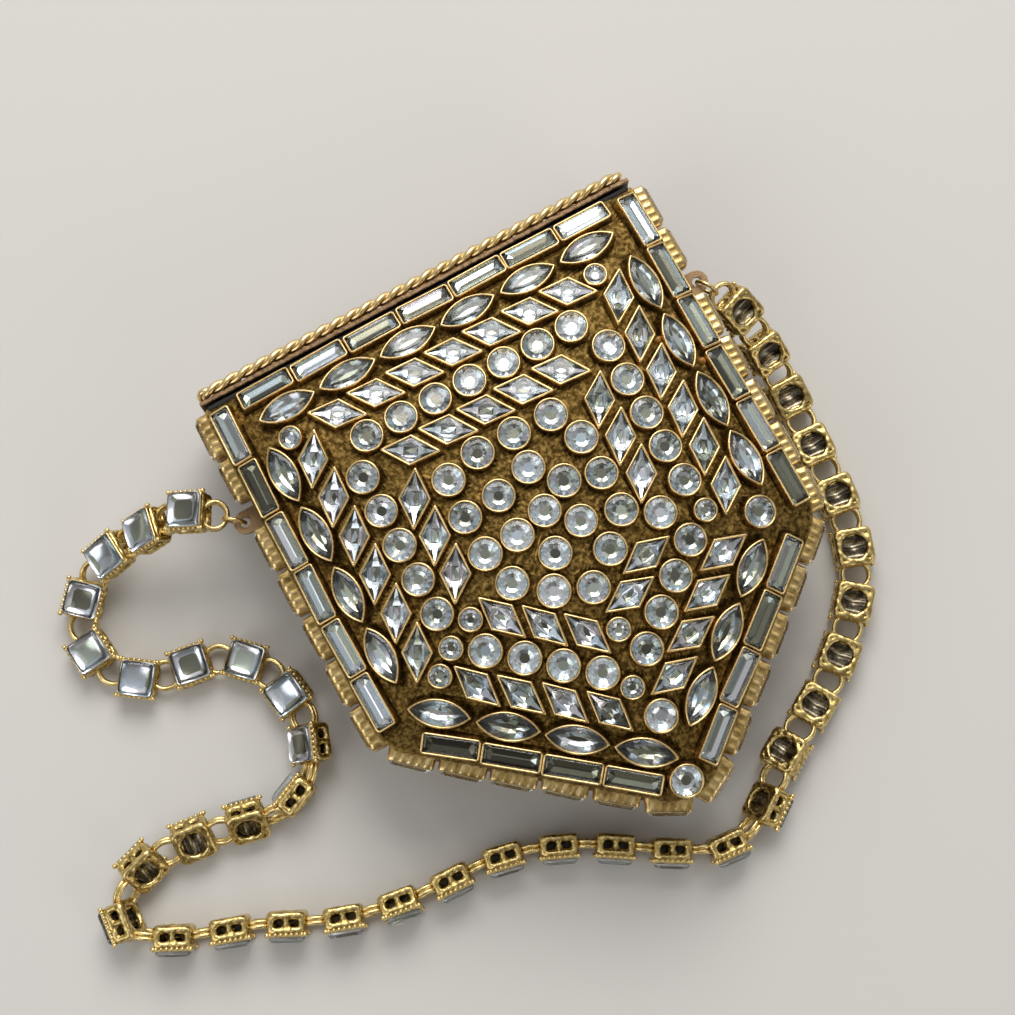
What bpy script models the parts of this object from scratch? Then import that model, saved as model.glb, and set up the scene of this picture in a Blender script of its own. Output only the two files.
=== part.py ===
"""A box-shaped mini evening bag of brass, set all over with clear stones, with a
hinged lid and a strap of square stone settings. It lies on its back: +Z is the
stone-set front, +Y the lid, +X the right side. Metres."""

import math

import bmesh
import bpy
import numpy as np
from mathutils import Matrix, Vector
from mathutils.geometry import delaunay_2d_cdt

# Case
WIDTH = 0.108
SIDE_LENGTH = 0.084
TIP_LENGTH = 0.044
CASE_DEPTH = 0.030
CORNER_RADIUS = 0.011
TOP_CORNER_RADIUS = 0.0015
SHEET = 0.0015
DOME_RISE = 0.008
DOME_REACH = 0.0497
DOME_POWER = 2.5
CLEARANCE = 0.0003
CORNER_STEPS = 5

# How far in from the edge the front's curved sheet bends, outside and inside
FRONT_BENDS = (0.006, 0.014, 0.023, 0.033, 0.043)
FRONT_INNER_BENDS = (0.009, 0.024, 0.040)

# Stones: length, width of each bezel, seen from above
ROUND = 0.0074
BAGUETTE = (0.0126, 0.0051)
NAVETTE = (0.0136, 0.0064)
RHOMBUS = (0.0130, 0.0066)
SIDE_BAGUETTE = (0.0104, 0.0048)
ROUND_SIDES = 8
NAVETTE_SHOULDER = (0.42, 0.86)
BEZEL_HEIGHT = 0.0020
BEZEL_WALL = 0.0006
CROWN_RISE = 0.0007
CROWN_WIDTH = 0.0009
RING_GAP = 0.00045
EDGE_MARGIN = 0.0009

# Each ring of the front, from the edge inwards: the stone, the spacing, and the
# length left free at both ends of the top, right, lower right, lower left and left
FRONT_RINGS = (
    ("baguette", 0.0132, (0.0063, 0.0063, 0.0063, 0.0063, 0.0063)),
    ("navette", 0.0149, (0.0062, 0.0062, 0.0080, 0.0062, 0.0062)),
    ("rhombus", 0.0095, (0.0058, 0.0058, 0.0058, 0.0058, 0.0058)),
    ("round", 0.0084, (0.0045, 0.0045, 0.0045, 0.0045, 0.0045)),
    ("rhombus", 0.0092, (0.0040, 0.0052, 0.0060, 0.0052, 0.0052)),
)
RHOMBUS_SLANT = math.radians(-30)
CENTRE_RINGS = 2
CENTRE_SPACING = 0.0085
CENTRE_CORNER = 0.0044

# Side stones and lid stones
SIDE_STONE_GAP = 0.0005
SIDE_ROW_GAP = 0.0005
LUG_SLOT = 0.0060
LID_ROUNDS = 12

# Mouth, lid and lining
MOUTH_WALL = 0.0010
MOUTH_DEPTH = 0.0030
MOUTH_PROUD = 0.0007
LINING = 0.0006
LID_SHEET = 0.0010
LID_GAP = 0.0010
LID_LINING_BACK_GAP = 0.0016
ROPE_WIDTH = 0.0028
ROPE_SIDES = 8
ROPE_BACK_END = 0.0075

# Hinge
AXIS_HEIGHT = 0.0024
BARREL_RADIUS = 0.0017
BORE_RADIUS = 0.0010
PIN_RADIUS = 0.0007
BARREL_LENGTH = 0.0110
BARREL_COUNT = 5
BARREL_SIDES = 8
HINGE_LEAF = 0.0008
LEAF_REACH = 0.0070

# Lugs
LUG_FROM_TOP = 0.0250
LUG_FROM_FRONT = 0.0085
LUG_WIDTH = 0.0052
LUG_THICKNESS = 0.0012
LUG_REACH = 0.0062
LUG_HOLE = 0.0024
LUG_STEPS = 6
LUG_HOLE_SIDES = 8

# Strap
LINK_SIZE = 0.0090
LINK_WALL = 0.0010
LINK_HEIGHT = 0.0052
LINK_TOP = 0.0012
LINK_COUNT = 37
LINK_STONE = 0.0076
LINK_STONE_RISE = 0.0016
POST_WIDTH = 0.0013
CORNER_POST = 0.0011
WINDOW_LOW = 0.0010
WINDOW_HIGH = 0.0038
RING_WIRE = 0.0009
RING_WIDTH = 0.0042
RING_PINCH = 0.7
LUG_RING_RADIUS = 0.0026
LUG_RING_SIDES = 8
FLOOR_GAP = 0.0002

# The strap's route along its links' middles: x and y in millimetres from the left
# lug, from the bag's point and from the right lug, the height as a share of the
# lugs' height, and how far each link is rolled about the strap, in degrees
ROUTE_FROM_LEFT_LUG = (
    (0.0, 0.0, 0.87, 0),
    (-10.9, 8.5, 0.79, 5),
    (-22.4, 10.0, 0.42, 10),
    (-34.4, 10.0, 0.09, 0),
    (-43.9, 2.0, 0.0, 0),
    (-44.4, -10.5, 0.0, 10),
    (-34.9, -19.0, 0.0, 0),
    (-22.4, -20.5, 0.0, 0),
    (-12.9, -28.0, 0.0, 0),
    (-9.9, -40.0, 0.0, 20),
    (-12.4, -52.0, 0.0, 60),
)
ROUTE_FROM_POINT = (
    (-80.5, 44.0, 0.0, 100),
    (-92.0, 46.0, 0.0, 140),
    (-105.0, 48.0, 0.0, 150),
    (-117.5, 46.5, 0.0, 130),
    (-123.5, 37.0, 0.0, 100),
    (-112.5, 29.5, 0.0, 90),
    (-98.0, 24.5, 0.0, 90),
    (-84.5, 18.0, 0.0, 90),
    (-71.5, 14.0, 0.0, 80),
    (-58.5, 12.5, 0.0, 90),
    (-46.0, 12.0, 0.0, 90),
    (-33.0, 8.5, 0.0, 90),
    (-21.0, 2.5, 0.0, 90),
    (-9.5, -5.0, 0.0, 90),
    (2.5, -10.5, 0.0, 90),
    (13.5, -8.0, 0.0, 120),
    (22.0, -0.5, 0.0, 150),
    (32.5, 5.0, 0.0, 170),
    (43.0, 11.5, 0.0, 180),
    (52.5, 20.0, 0.0, 180),
    (60.5, 30.5, 0.0, 180),
)
ROUTE_FROM_RIGHT_LUG = (
    (6.9, -57.5, 0.0, 180),
    (7.9, -44.0, 0.0, 180),
    (8.9, -30.5, 0.0, 180),
    (7.9, -19.5, 0.3, 180),
    (5.4, -8.5, 0.65, 180),
    (0.0, 0.0, 0.87, 180),
)
ROUTE_SAMPLES = 24

# How near two points of a sheet may lie, and the step that its slope is found with
POINT_MERGE = 1e-8
SLOPE_STEP = 1e-5

# Worked out from the sizes above
HALF_WIDTH = WIDTH / 2
CASE_LENGTH = SIDE_LENGTH + TIP_LENGTH
TOP_Y = CASE_LENGTH / 2
SHOULDER_Y = TOP_Y - SIDE_LENGTH
TIP_Y = -CASE_LENGTH / 2
BAND_LOW = SHEET + CLEARANCE
BAND_HIGH = CASE_DEPTH - SHEET - CLEARANCE
AXIS_Y = TOP_Y + MOUTH_PROUD + CLEARANCE + BARREL_RADIUS
LID_LOW_Y = TOP_Y + LID_GAP
LUG_HEIGHT = CASE_DEPTH - LUG_FROM_FRONT
LID_TOP_Y = LID_LOW_Y + LID_SHEET
LID_BACK_Z = AXIS_HEIGHT + BARREL_RADIUS + CLEARANCE
MOUTH_LOW_Z = BAND_LOW + HINGE_LEAF + CLEARANCE
NECK_END = (BARREL_RADIUS + 3 * BORE_RADIUS) / 4
SIZES = {
    "round": (ROUND, ROUND),
    "baguette": BAGUETTE,
    "navette": NAVETTE,
    "rhombus": RHOMBUS,
    "side_baguette": SIDE_BAGUETTE,
}

OLD_BRASS = ("old_brass", (0.45, 0.33, 0.12), 0.42, 1.0)
STRAP_BRASS = ("strap_brass", (0.55, 0.42, 0.17), 0.35, 1.0)
PLAIN_BRASS = ("plain_brass", (0.38, 0.27, 0.12), 0.5, 1.0)
BLACK_CLOTH = ("black_cloth", (0.012, 0.011, 0.012), 0.9, 0.0)

RING_HEIGHT = (WINDOW_LOW + WINDOW_HIGH - LINK_HEIGHT) / 2
RING_RUNS = (RING_WIDTH / 2, -RING_WIDTH / 2)


def clear_scene():
    for thing in list(bpy.data.objects):
        bpy.data.objects.remove(thing, do_unlink=True)


def material(finish):
    name, colour, roughness, metallic = finish
    made = bpy.data.materials.get(name)
    if made:
        return made
    made = bpy.data.materials.new(name)
    made.use_nodes = True
    shader = made.node_tree.nodes["Principled BSDF"]
    shader.inputs["Base Color"].default_value = (*colour, 1.0)
    shader.inputs["Roughness"].default_value = roughness
    shader.inputs["Metallic"].default_value = metallic
    made.diffuse_color = (*colour, 1.0)
    return made


def add_mesh(name, points, faces, finish, parent=None):
    """An object of its own from closed points and faces, its normals turned out."""
    mesh = bpy.data.meshes.new(name)
    mesh.from_pydata([tuple(p) for p in points], [], faces)
    shape = bmesh.new()
    shape.from_mesh(mesh)
    loose = [v for v in shape.verts if not v.link_faces]
    bmesh.ops.delete(shape, geom=loose, context="VERTS")
    bmesh.ops.recalc_face_normals(shape, faces=shape.faces)
    shape.to_mesh(mesh)
    shape.free()
    mesh.materials.append(material(finish))
    made = bpy.data.objects.new(name, mesh)
    bpy.context.scene.collection.objects.link(made)
    if parent:
        made.parent = parent
        made.matrix_parent_inverse = parent.matrix_world.inverted()
    return made


def add_empty(name, place):
    made = bpy.data.objects.new(name, None)
    made.location = place
    bpy.context.scene.collection.objects.link(made)
    bpy.context.view_layer.update()
    return made


def joined(base, others, operation="UNION"):
    """Base with each other solid added or cut, the others kept as hidden helpers."""
    for other in others:
        change = base.modifiers.new(other.name, "BOOLEAN")
        change.operation = operation
        change.object = other
        other.hide_render = True
        other.display_type = "WIRE"
    return base


def turned(point, angle):
    c, s = math.cos(angle), math.sin(angle)
    return Vector((point[0] * c - point[1] * s, point[0] * s + point[1] * c))


def inset(loop, distance):
    """A convex anticlockwise loop moved inwards by a distance on every side."""
    moved = []
    for before, here, after in zip(loop[-1:] + loop[:-1], loop, loop[1:] + loop[:1]):
        first = (here - before).normalized()
        second = (after - here).normalized()
        n1 = Vector((-first.y, first.x))
        n2 = Vector((-second.y, second.x))
        middle = (n1 + n2).normalized()
        moved.append(here + middle * distance / middle.dot(n1))
    return moved


def arc(before, here, after, radius, steps):
    """The rounding of a corner, anticlockwise."""
    back = (before - here).normalized()
    on = (after - here).normalized()
    half = back.angle(on) / 2
    centre = here + (back + on).normalized() * radius / math.sin(half)
    start = here + back * radius / math.tan(half) - centre
    sweep = math.pi - 2 * half
    return [centre + turned(start, sweep * k / steps) for k in range(steps + 1)]


def rounded(corners, radii):
    """A closed loop of corners, each rounded by its radius, anticlockwise."""
    path = []
    befores = corners[-1:] + corners[:-1]
    afters = corners[1:] + corners[:1]
    for before, here, after, radius in zip(befores, corners, afters, radii):
        steps = CORNER_STEPS if radius > TOP_CORNER_RADIUS else 1
        path += arc(before, here, after, radius, steps)
    return path


def case_corners(margin=0.0, top_margin=None):
    """The bag's five corners, moved in by a margin: top left, then anticlockwise."""
    sharp = [
        Vector((-HALF_WIDTH, TOP_Y)),
        Vector((-HALF_WIDTH, SHOULDER_Y)),
        Vector((0.0, TIP_Y)),
        Vector((HALF_WIDTH, SHOULDER_Y)),
        Vector((HALF_WIDTH, TOP_Y)),
    ]
    moved = inset(sharp, margin)
    if top_margin is not None:
        moved[0].y = TOP_Y - top_margin
        moved[4].y = TOP_Y - top_margin
    return moved


def case_outline(margin=0.0, top_margin=None):
    radius = max(CORNER_RADIUS - margin, CORNER_RADIUS / 4)
    radii = (TOP_CORNER_RADIUS, radius, radius, radius, TOP_CORNER_RADIUS)
    return rounded(case_corners(margin, top_margin), radii)


def outline_of(kind):
    """The bezel's outline for a kind of stone, anticlockwise round its middle."""
    if kind == "round":
        turn = math.pi / ROUND_SIDES
        corner = (ROUND / 2 / math.cos(turn), 0)
        return [turned(corner, turn * (2 * k + 1)) for k in range(ROUND_SIDES)]
    length, width = SIZES[kind]
    if kind == "rhombus":
        half = [Vector((length / 2, 0)), Vector((0, width / 2))]
    elif kind == "navette":
        along, out = length / 2 * NAVETTE_SHOULDER[0], width / 2 * NAVETTE_SHOULDER[1]
        half = [Vector((length / 2, 0)), Vector((along, out)), Vector((-along, out))]
    else:
        half = [Vector((length / 2, width / 2)), Vector((-length / 2, width / 2))]
    return half + [-p for p in half]


def smooth_least(values, softness):
    """The least of the values, its creases rounded."""
    low = min(values)
    return low - softness * math.log(sum(math.exp((low - v) / softness) for v in values))


def dome_height(x, y):
    """The front's height at a point: a pillow that rises from the edge."""
    corners = case_corners()
    reach = []
    for here, after in zip(corners, corners[1:] + corners[:1]):
        along = (after - here).normalized()
        reach.append((Vector((x, y)) - here).dot(Vector((-along.y, along.x))))
    inwards = max(smooth_least(reach, CORNER_RADIUS / 4), 0.0)
    depth = min(inwards / DOME_REACH, 1.0)
    return CASE_DEPTH + DOME_RISE * (1 - (1 - depth) ** DOME_POWER)


def studded(name, edge, stones, grid, outer, inner_grid, inner, finish, parent=None):
    """A closed sheet with bezels standing on its outer face. edge is its outline in
    the sheet's own two coordinates, outer and inner give the faces' points, and each
    stone is its kind, its place and its turn."""
    flat = list(edge)
    loops = []
    for kind, place, turn in stones:
        outline = [place + turned(p, turn) for p in outline_of(kind)]
        loops.append(list(range(len(flat), len(flat) + len(outline))))
        flat += outline
    flat += [p for p in grid if clear_of(p, stones)]
    border = list(range(len(edge)))
    found = delaunay_2d_cdt(flat, [], [border] + loops, 1, POINT_MERGE, True)
    corners, faces, origins, owners = found[0], found[2], found[3], found[5]
    points = [outer(p.x, p.y) for p in corners]
    at = {source: i for i, sources in enumerate(origins) for source in sources}
    solid = [list(f) for f, owner in zip(faces, owners) if owner == [0]]
    for loop, (kind, place, turn) in zip(loops, stones):
        add_stone(points, solid, [at[i] for i in loop], kind, place, turn, outer)
    back = delaunay_2d_cdt(list(edge) + inner_grid, [], [border], 1, POINT_MERGE, True)
    back_at = {source: i for i, sources in enumerate(back[3]) for source in sources}
    first = len(points)
    points += [inner(p.x, p.y) for p in back[0]]
    solid += [[first + i for i in reversed(f)] for f in back[2]]
    for i in border:
        j = (i + 1) % len(border)
        solid.append([at[i], first + back_at[i], first + back_at[j], at[j]])
    return add_mesh(name, points, solid, finish, parent)


def clear_of(point, stones):
    """Whether a point of the grid stays out of every bezel."""
    return all((point - place).length > reach_of(kind) for kind, place, turn in stones)


def reach_of(kind):
    return max(p.length for p in outline_of(kind)) + RING_GAP / 2


def add_stone(points, faces, base, kind, place, turn, outer):
    """A bezel's wall, its rim, and the stone's crown and table."""
    middle = outer(place.x, place.y)
    along = (outer(place.x + SLOPE_STEP, place.y) - middle).normalized()
    across = (outer(place.x, place.y + SLOPE_STEP) - middle).normalized()
    normal = along.cross(across).normalized()
    across = normal.cross(along)
    outline = outline_of(kind)
    last = base
    levels = (
        (0.0, BEZEL_HEIGHT),
        (BEZEL_WALL, BEZEL_HEIGHT),
        (BEZEL_WALL + CROWN_WIDTH, BEZEL_HEIGHT + CROWN_RISE),
    )
    for distance, height in levels:
        level = [turned(p, turn) for p in inset(outline, distance)]
        ring = list(range(len(points), len(points) + len(level)))
        points += [middle + along * p.x + across * p.y + normal * height for p in level]
        for i in range(len(ring)):
            j = (i + 1) % len(ring)
            faces.append([last[i], last[j], ring[j], ring[i]])
        last = ring
    faces.append(last)


def ring_insets():
    """How far in each ring of the front lies: half a stone, a gap, half a stone."""
    kinds = [ring[0] for ring in FRONT_RINGS] + ["round"] * CENTRE_RINGS
    place = EDGE_MARGIN + SIZES[kinds[0]][1] / 2
    insets = [place]
    for before, kind in zip(kinds, kinds[1:]):
        place += (SIZES[before][1] + SIZES[kind][1]) / 2 + RING_GAP
        insets.append(place)
    return insets


def front_stones():
    """Every stone of the front: rings that follow the outline, then the middle."""
    insets = ring_insets()
    stones = []
    for (kind, spacing, free_ends), margin in zip(FRONT_RINGS, insets):
        corners = case_corners(margin)
        level = Vector((0.0, SIZES[kind][1] / 2 if margin == insets[0] else 0.0))
        run = [corners[4] + level, corners[3], corners[2], corners[1], corners[0] + level]
        ends = [(corners[0], corners[4])] + list(zip(run, run[1:]))
        for (start, end), free in zip(ends, free_ends):
            along = (end - start).normalized()
            count = int(((end - start).length - 2 * free) / spacing) + 1
            turn = math.atan2(along.y, along.x)
            slant = RHOMBUS_SLANT if kind == "rhombus" else 0.0
            middle = (start + end) / 2
            for k in range(count):
                place = middle + along * spacing * (k - (count - 1) / 2)
                stones.append((kind, place, turn + slant))
    for margin in insets[len(FRONT_RINGS):]:
        loop = rounded(case_corners(margin), [CENTRE_CORNER] * 5)
        stones += [("round", place, 0.0) for place in around(loop, CENTRE_SPACING)]
    return stones


def around(loop, spacing):
    """Places spread evenly round a closed loop, at least a spacing apart."""
    sides = list(zip(loop, loop[1:] + loop[:1]))
    total = sum((b - a).length for a, b in sides)
    count = int(total / spacing)
    places = []
    for k in range(count):
        left = total * (k + 0.5) / count
        for a, b in sides:
            if left <= (b - a).length:
                places.append(a + (b - a).normalized() * left)
                break
            left -= (b - a).length
    return places


def bends(margins, steps):
    """Points for a curved face to bend at: shrunken outlines inside the edge."""
    points = []
    for margin in margins:
        corners = case_corners(margin)
        sides = zip(corners, corners[1:] + corners[:1])
        points += [a.lerp(b, k / steps) for a, b in sides for k in range(steps)]
    return points


def make_front_panel():
    edge = case_outline()
    fine = bends(FRONT_BENDS, 4)
    coarse = bends(FRONT_INNER_BENDS, 2)

    def outer(x, y):
        return Vector((x, y, dome_height(x, y)))

    def inner(x, y):
        return Vector((x, y, dome_height(x, y) - SHEET))

    return studded("front_panel", edge, front_stones(), fine, outer, coarse, inner, OLD_BRASS)


def plate(name, outline, low, high, finish, parent=None):
    """A flat sheet of a convex outline between two heights."""
    count = len(outline)
    points = [(p.x, p.y, z) for z in (low, high) for p in outline]
    faces = [list(range(count)), list(range(count, 2 * count))]
    faces += [[i, (i + 1) % count, count + (i + 1) % count, count + i] for i in range(count)]
    return add_mesh(name, points, faces, finish, parent)


def band_path(margin, top_margin=0.0):
    """The open line round the sides and the point, from top left to top right."""
    corners = case_corners(margin, top_margin)
    line = corners[:1]
    for before, here, after in zip(corners, corners[1:], corners[2:]):
        line += arc(before, here, after, CORNER_RADIUS - margin, CORNER_STEPS)
    return line + corners[-1:]


def lengths_along(path):
    run = [0.0]
    for a, b in zip(path, path[1:]):
        run.append(run[-1] + (b - a).length)
    return run


def spread(start, end, spacing):
    """Places spread evenly over a length, at least a spacing apart."""
    count = int((end - start) / spacing)
    return [start + (end - start) * (k + 0.5) / count for k in range(count)]


def side_stone_places(total):
    """How far along the band each side stone lies, with a slot left for each lug."""
    spacing = SIDE_BAGUETTE[0] + SIDE_STONE_GAP
    places = spread(0.0, LUG_FROM_TOP - LUG_SLOT / 2, spacing)
    places += spread(LUG_FROM_TOP + LUG_SLOT / 2, total / 2, spacing)
    return places + [total - s for s in reversed(places)]


def make_side_band():
    """The wall round the sides and the point, with a row of stones facing out."""
    line = band_path(0.0)
    run = lengths_along(line)
    inside = band_path(SHEET)

    def on_line(path, s):
        i = min(max(int(np.searchsorted(run, s)) - 1, 0), len(path) - 2)
        return path[i].lerp(path[i + 1], (s - run[i]) / (run[i + 1] - run[i]))

    def outer(s, z):
        p = on_line(line, s)
        return Vector((p.x, p.y, z))

    def inner(s, z):
        p = on_line(inside, s)
        return Vector((p.x, p.y, z))

    row = BAND_HIGH - SIDE_BAGUETTE[1] / 2 - SIDE_ROW_GAP
    stones = [("side_baguette", Vector((s, row)), 0.0) for s in side_stone_places(run[-1])]
    low = [Vector((s, BAND_LOW)) for s in run]
    high = [Vector((s, BAND_HIGH)) for s in reversed(run)]
    return studded("side_band", low + high, stones, [], outer, [], inner, OLD_BRASS)


def band(name, margin, thickness, low, high, top_margin, finish):
    """A plain wall that follows the sides and the point at a margin inside them."""
    outside = band_path(margin, top_margin)
    inside = band_path(margin + thickness, top_margin)
    outline = outside + inside[::-1]
    count = len(outline)
    points = [(p.x, p.y, z) for z in (low, high) for p in outline]
    last = len(outside) - 1
    faces = []
    for i in range(last):
        a, b = i, i + 1
        c, d = count - 2 - i, count - 1 - i
        faces += [[a, b, c, d], [count + a, count + b, count + c, count + d]]
    faces += [[i, (i + 1) % count, count + (i + 1) % count, count + i] for i in range(count)]
    return add_mesh(name, points, faces, finish)


def box(name, low, high, finish, parent=None):
    xs, ys, zs = zip(low, high)
    corners = [(x, y, z) for x in xs for y in ys for z in zs]
    faces = [[0, 1, 3, 2], [4, 6, 7, 5], [0, 4, 5, 1], [2, 3, 7, 6], [0, 2, 6, 4], [1, 5, 7, 3]]
    return add_mesh(name, corners, faces, finish, parent)


def make_mouth_frame():
    """The rim round the mouth, that the lid closes over."""
    reach = HALF_WIDTH - SHEET - CLEARANCE
    low_y = TOP_Y - MOUTH_DEPTH
    high_y = TOP_Y + MOUTH_PROUD
    frame = box("mouth_frame", (-reach, low_y, MOUTH_LOW_Z), (reach, high_y, BAND_HIGH), BLACK_CLOTH)
    opening = box(
        "mouth_cutter",
        (-reach + MOUTH_WALL, low_y - MOUTH_DEPTH, MOUTH_LOW_Z + MOUTH_WALL),
        (reach - MOUTH_WALL, high_y + MOUTH_DEPTH, BAND_HIGH - MOUTH_WALL),
        BLACK_CLOTH,
    )
    return joined(frame, [opening], "DIFFERENCE")


def make_case():
    make_front_panel()
    make_side_band()
    plate("back_panel", case_outline(), 0.0, SHEET, OLD_BRASS)
    make_mouth_frame()
    below_mouth = MOUTH_DEPTH + CLEARANCE
    margin = SHEET + CLEARANCE
    front_board = case_outline(margin, below_mouth)
    plate("front_lining", front_board, BAND_HIGH - LINING, BAND_HIGH, BLACK_CLOTH)
    back_board = case_outline(margin, LEAF_REACH + CLEARANCE)
    plate("back_lining", back_board, BAND_LOW, BAND_LOW + LINING, BLACK_CLOTH)
    low = BAND_LOW + LINING + CLEARANCE
    high = BAND_HIGH - LINING - CLEARANCE
    band("side_lining", margin, LINING, low, high, LEAF_REACH + CLEARANCE, BLACK_CLOTH)


def tube(name, x, length, outside, inside, centre, finish, parent=None):
    """A barrel along X round a centre, bored through when it has an inside."""
    points = []
    faces = []
    ends = (x - length / 2, x + length / 2)
    radii = (outside, inside) if inside else (outside,)
    for radius in radii:
        for end in ends:
            for k in range(BARREL_SIDES):
                angle = 2 * math.pi * k / BARREL_SIDES
                side = (radius * math.cos(angle), radius * math.sin(angle))
                points.append((end, centre[0] + side[0], centre[1] + side[1]))
    n = BARREL_SIDES
    for k in range(n):
        j = (k + 1) % n
        faces.append([k, j, n + j, n + k])
        if inside:
            faces.append([2 * n + k, 3 * n + k, 3 * n + j, 2 * n + j])
            faces += [[k, 2 * n + k, 2 * n + j, j], [n + k, n + j, 3 * n + j, 3 * n + k]]
    if not inside:
        faces += [list(range(n)), list(range(n, 2 * n))]
    return add_mesh(name, points, faces, finish, parent)


def barrel_places():
    pitch = BARREL_LENGTH + CLEARANCE
    return [pitch * (k - (BARREL_COUNT - 1) / 2) for k in range(BARREL_COUNT)]


def add_barrels(name, leaf, places, neck_low, neck_high, finish, parent=None):
    """Barrels along the hinge's axis, each joined to its leaf by a neck between two
    corners in Y and Z."""
    parts = []
    half = BARREL_LENGTH / 2
    centre = (AXIS_Y, AXIS_HEIGHT)
    for k, x in enumerate(places):
        barrel = f"{name}_barrel_{k}"
        parts.append(tube(barrel, x, BARREL_LENGTH, BARREL_RADIUS, BORE_RADIUS, centre, finish, parent))
        low, high = (x - half, *neck_low), (x + half, *neck_high)
        parts.append(box(f"{name}_neck_{k}", low, high, finish, parent))
    return joined(leaf, parts)


def make_hinge():
    """The case's leaf with its barrels, and the pin."""
    places = barrel_places()
    wide = places[-1] + BARREL_LENGTH
    top = BAND_LOW + HINGE_LEAF
    low, high = (-wide, TOP_Y - LEAF_REACH, BAND_LOW), (wide, TOP_Y - CLEARANCE, top)
    leaf = box("hinge_leaf", low, high, PLAIN_BRASS)
    neck_low = (TOP_Y - LEAF_REACH / 2, BAND_LOW)
    add_barrels("case", leaf, places[::2], neck_low, (AXIS_Y - NECK_END, top), PLAIN_BRASS)
    length = places[-1] * 2 + BARREL_LENGTH
    tube("hinge_pin", 0.0, length, PIN_RADIUS, None, (AXIS_Y, AXIS_HEIGHT), PLAIN_BRASS)


def make_lid(lid):
    """The lid's plate with its stones and barrels, its rope trim and its lining."""
    sides = (-HALF_WIDTH, HALF_WIDTH)
    edge = [Vector((LID_BACK_Z, sides[0])), Vector((CASE_DEPTH, sides[0]))]
    edge += [Vector((CASE_DEPTH, sides[1])), Vector((LID_BACK_Z, sides[1]))]
    row_inset = ROPE_WIDTH + CLEARANCE + ROUND / 2
    spacing = (WIDTH - 2 * row_inset) / (LID_ROUNDS - 1)
    first = row_inset - HALF_WIDTH
    row = CASE_DEPTH - row_inset
    stones = [("round", Vector((row, first + spacing * k)), 0.0) for k in range(LID_ROUNDS)]

    def outer(z, x):
        return Vector((x, LID_TOP_Y, z))

    def inner(z, x):
        return Vector((x, LID_LOW_Y, z))

    shell = studded("lid_plate", edge, stones, [], outer, [], inner, OLD_BRASS, lid)
    neck_low = (LID_LOW_Y + LID_SHEET / 4, AXIS_HEIGHT + NECK_END)
    neck_high = (LID_TOP_Y - LID_SHEET / 4, LID_BACK_Z + LID_SHEET)
    add_barrels("lid", shell, barrel_places()[1::2], neck_low, neck_high, OLD_BRASS, lid)
    make_rope(lid)
    inside = HALF_WIDTH - SHEET - MOUTH_WALL - 2 * CLEARANCE
    high_y = LID_LOW_Y - CLEARANCE
    low = (-inside, high_y - LINING, MOUTH_LOW_Z + MOUTH_WALL + LID_LINING_BACK_GAP)
    high = (inside, high_y, BAND_HIGH - MOUTH_WALL - CLEARANCE)
    box("lid_lining", low, high, BLACK_CLOTH, lid)


def make_rope(lid):
    """The round trim laid along the lid's front edge and both its ends."""
    side = HALF_WIDTH - ROPE_WIDTH / 2
    front = CASE_DEPTH - ROPE_WIDTH / 2
    height = LID_TOP_Y + CLEARANCE + ROPE_WIDTH / 2
    run = [Vector((-side, ROPE_BACK_END)), Vector((-side, front))]
    run += [Vector((side, front)), Vector((side, ROPE_BACK_END))]
    points = []
    for before, here, after in zip(run[:1] + run[:-1], run, run[1:] + run[-1:]):
        first = (here - before).normalized() if here != before else (after - here).normalized()
        second = (after - here).normalized() if after != here else first
        mitre = (first + second).normalized()
        across = Vector((-mitre.y, mitre.x)) / mitre.dot(first)
        for k in range(ROPE_SIDES):
            angle = 2 * math.pi * (k + 0.5) / ROPE_SIDES
            flat = here + across * ROPE_WIDTH / 2 * math.cos(angle)
            points.append((flat.x, height + ROPE_WIDTH / 2 * math.sin(angle), flat.y))
    n = ROPE_SIDES
    faces = [list(range(n)), list(range(len(points) - n, len(points)))]
    for k in range(len(run) - 1):
        for i in range(n):
            j = (i + 1) % n
            faces.append([n * k + i, n * k + j, n * k + n + j, n * k + n + i])
    return add_mesh("lid_rope_trim", points, faces, PLAIN_BRASS, lid)


def make_lug(name, side):
    """A flat ear with a rounded end and a hole, that the strap's ring goes through."""
    y = TOP_Y - LUG_FROM_TOP
    root = HALF_WIDTH + CLEARANCE
    tip = HALF_WIDTH + LUG_REACH
    radius = LUG_WIDTH / 2
    end = [
        Vector((tip - radius, y)) + turned((radius, 0), math.pi * (k / LUG_STEPS - 0.5))
        for k in range(LUG_STEPS + 1)
    ]
    outline = [Vector((root, y - radius))] + end + [Vector((root, y + radius))]
    outline = [Vector((side * p.x, p.y)) for p in outline]
    low = LUG_HEIGHT - LUG_THICKNESS / 2
    tab = plate(name, outline, low, low + LUG_THICKNESS, PLAIN_BRASS)
    hole = [
        lug_middle(side).to_2d() + turned((LUG_HOLE / 2, 0), 2 * math.pi * k / LUG_HOLE_SIDES)
        for k in range(LUG_HOLE_SIDES)
    ]
    cutter = plate(name + "_cutter", hole, low - LUG_THICKNESS, low + 2 * LUG_THICKNESS, PLAIN_BRASS)
    return joined(tab, [cutter], "DIFFERENCE")


def strap_route():
    """The route's points in metres, each list placed from what it starts at."""
    starts = (
        (lug_middle(-1), ROUTE_FROM_LEFT_LUG),
        (Vector((0.0, TIP_Y)), ROUTE_FROM_POINT),
        (lug_middle(1), ROUTE_FROM_RIGHT_LUG),
    )
    return [
        Vector((start.x + x / 1000, start.y + y / 1000, share * LUG_HEIGHT, roll))
        for start, points in starts
        for x, y, share, roll in points
    ]


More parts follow.
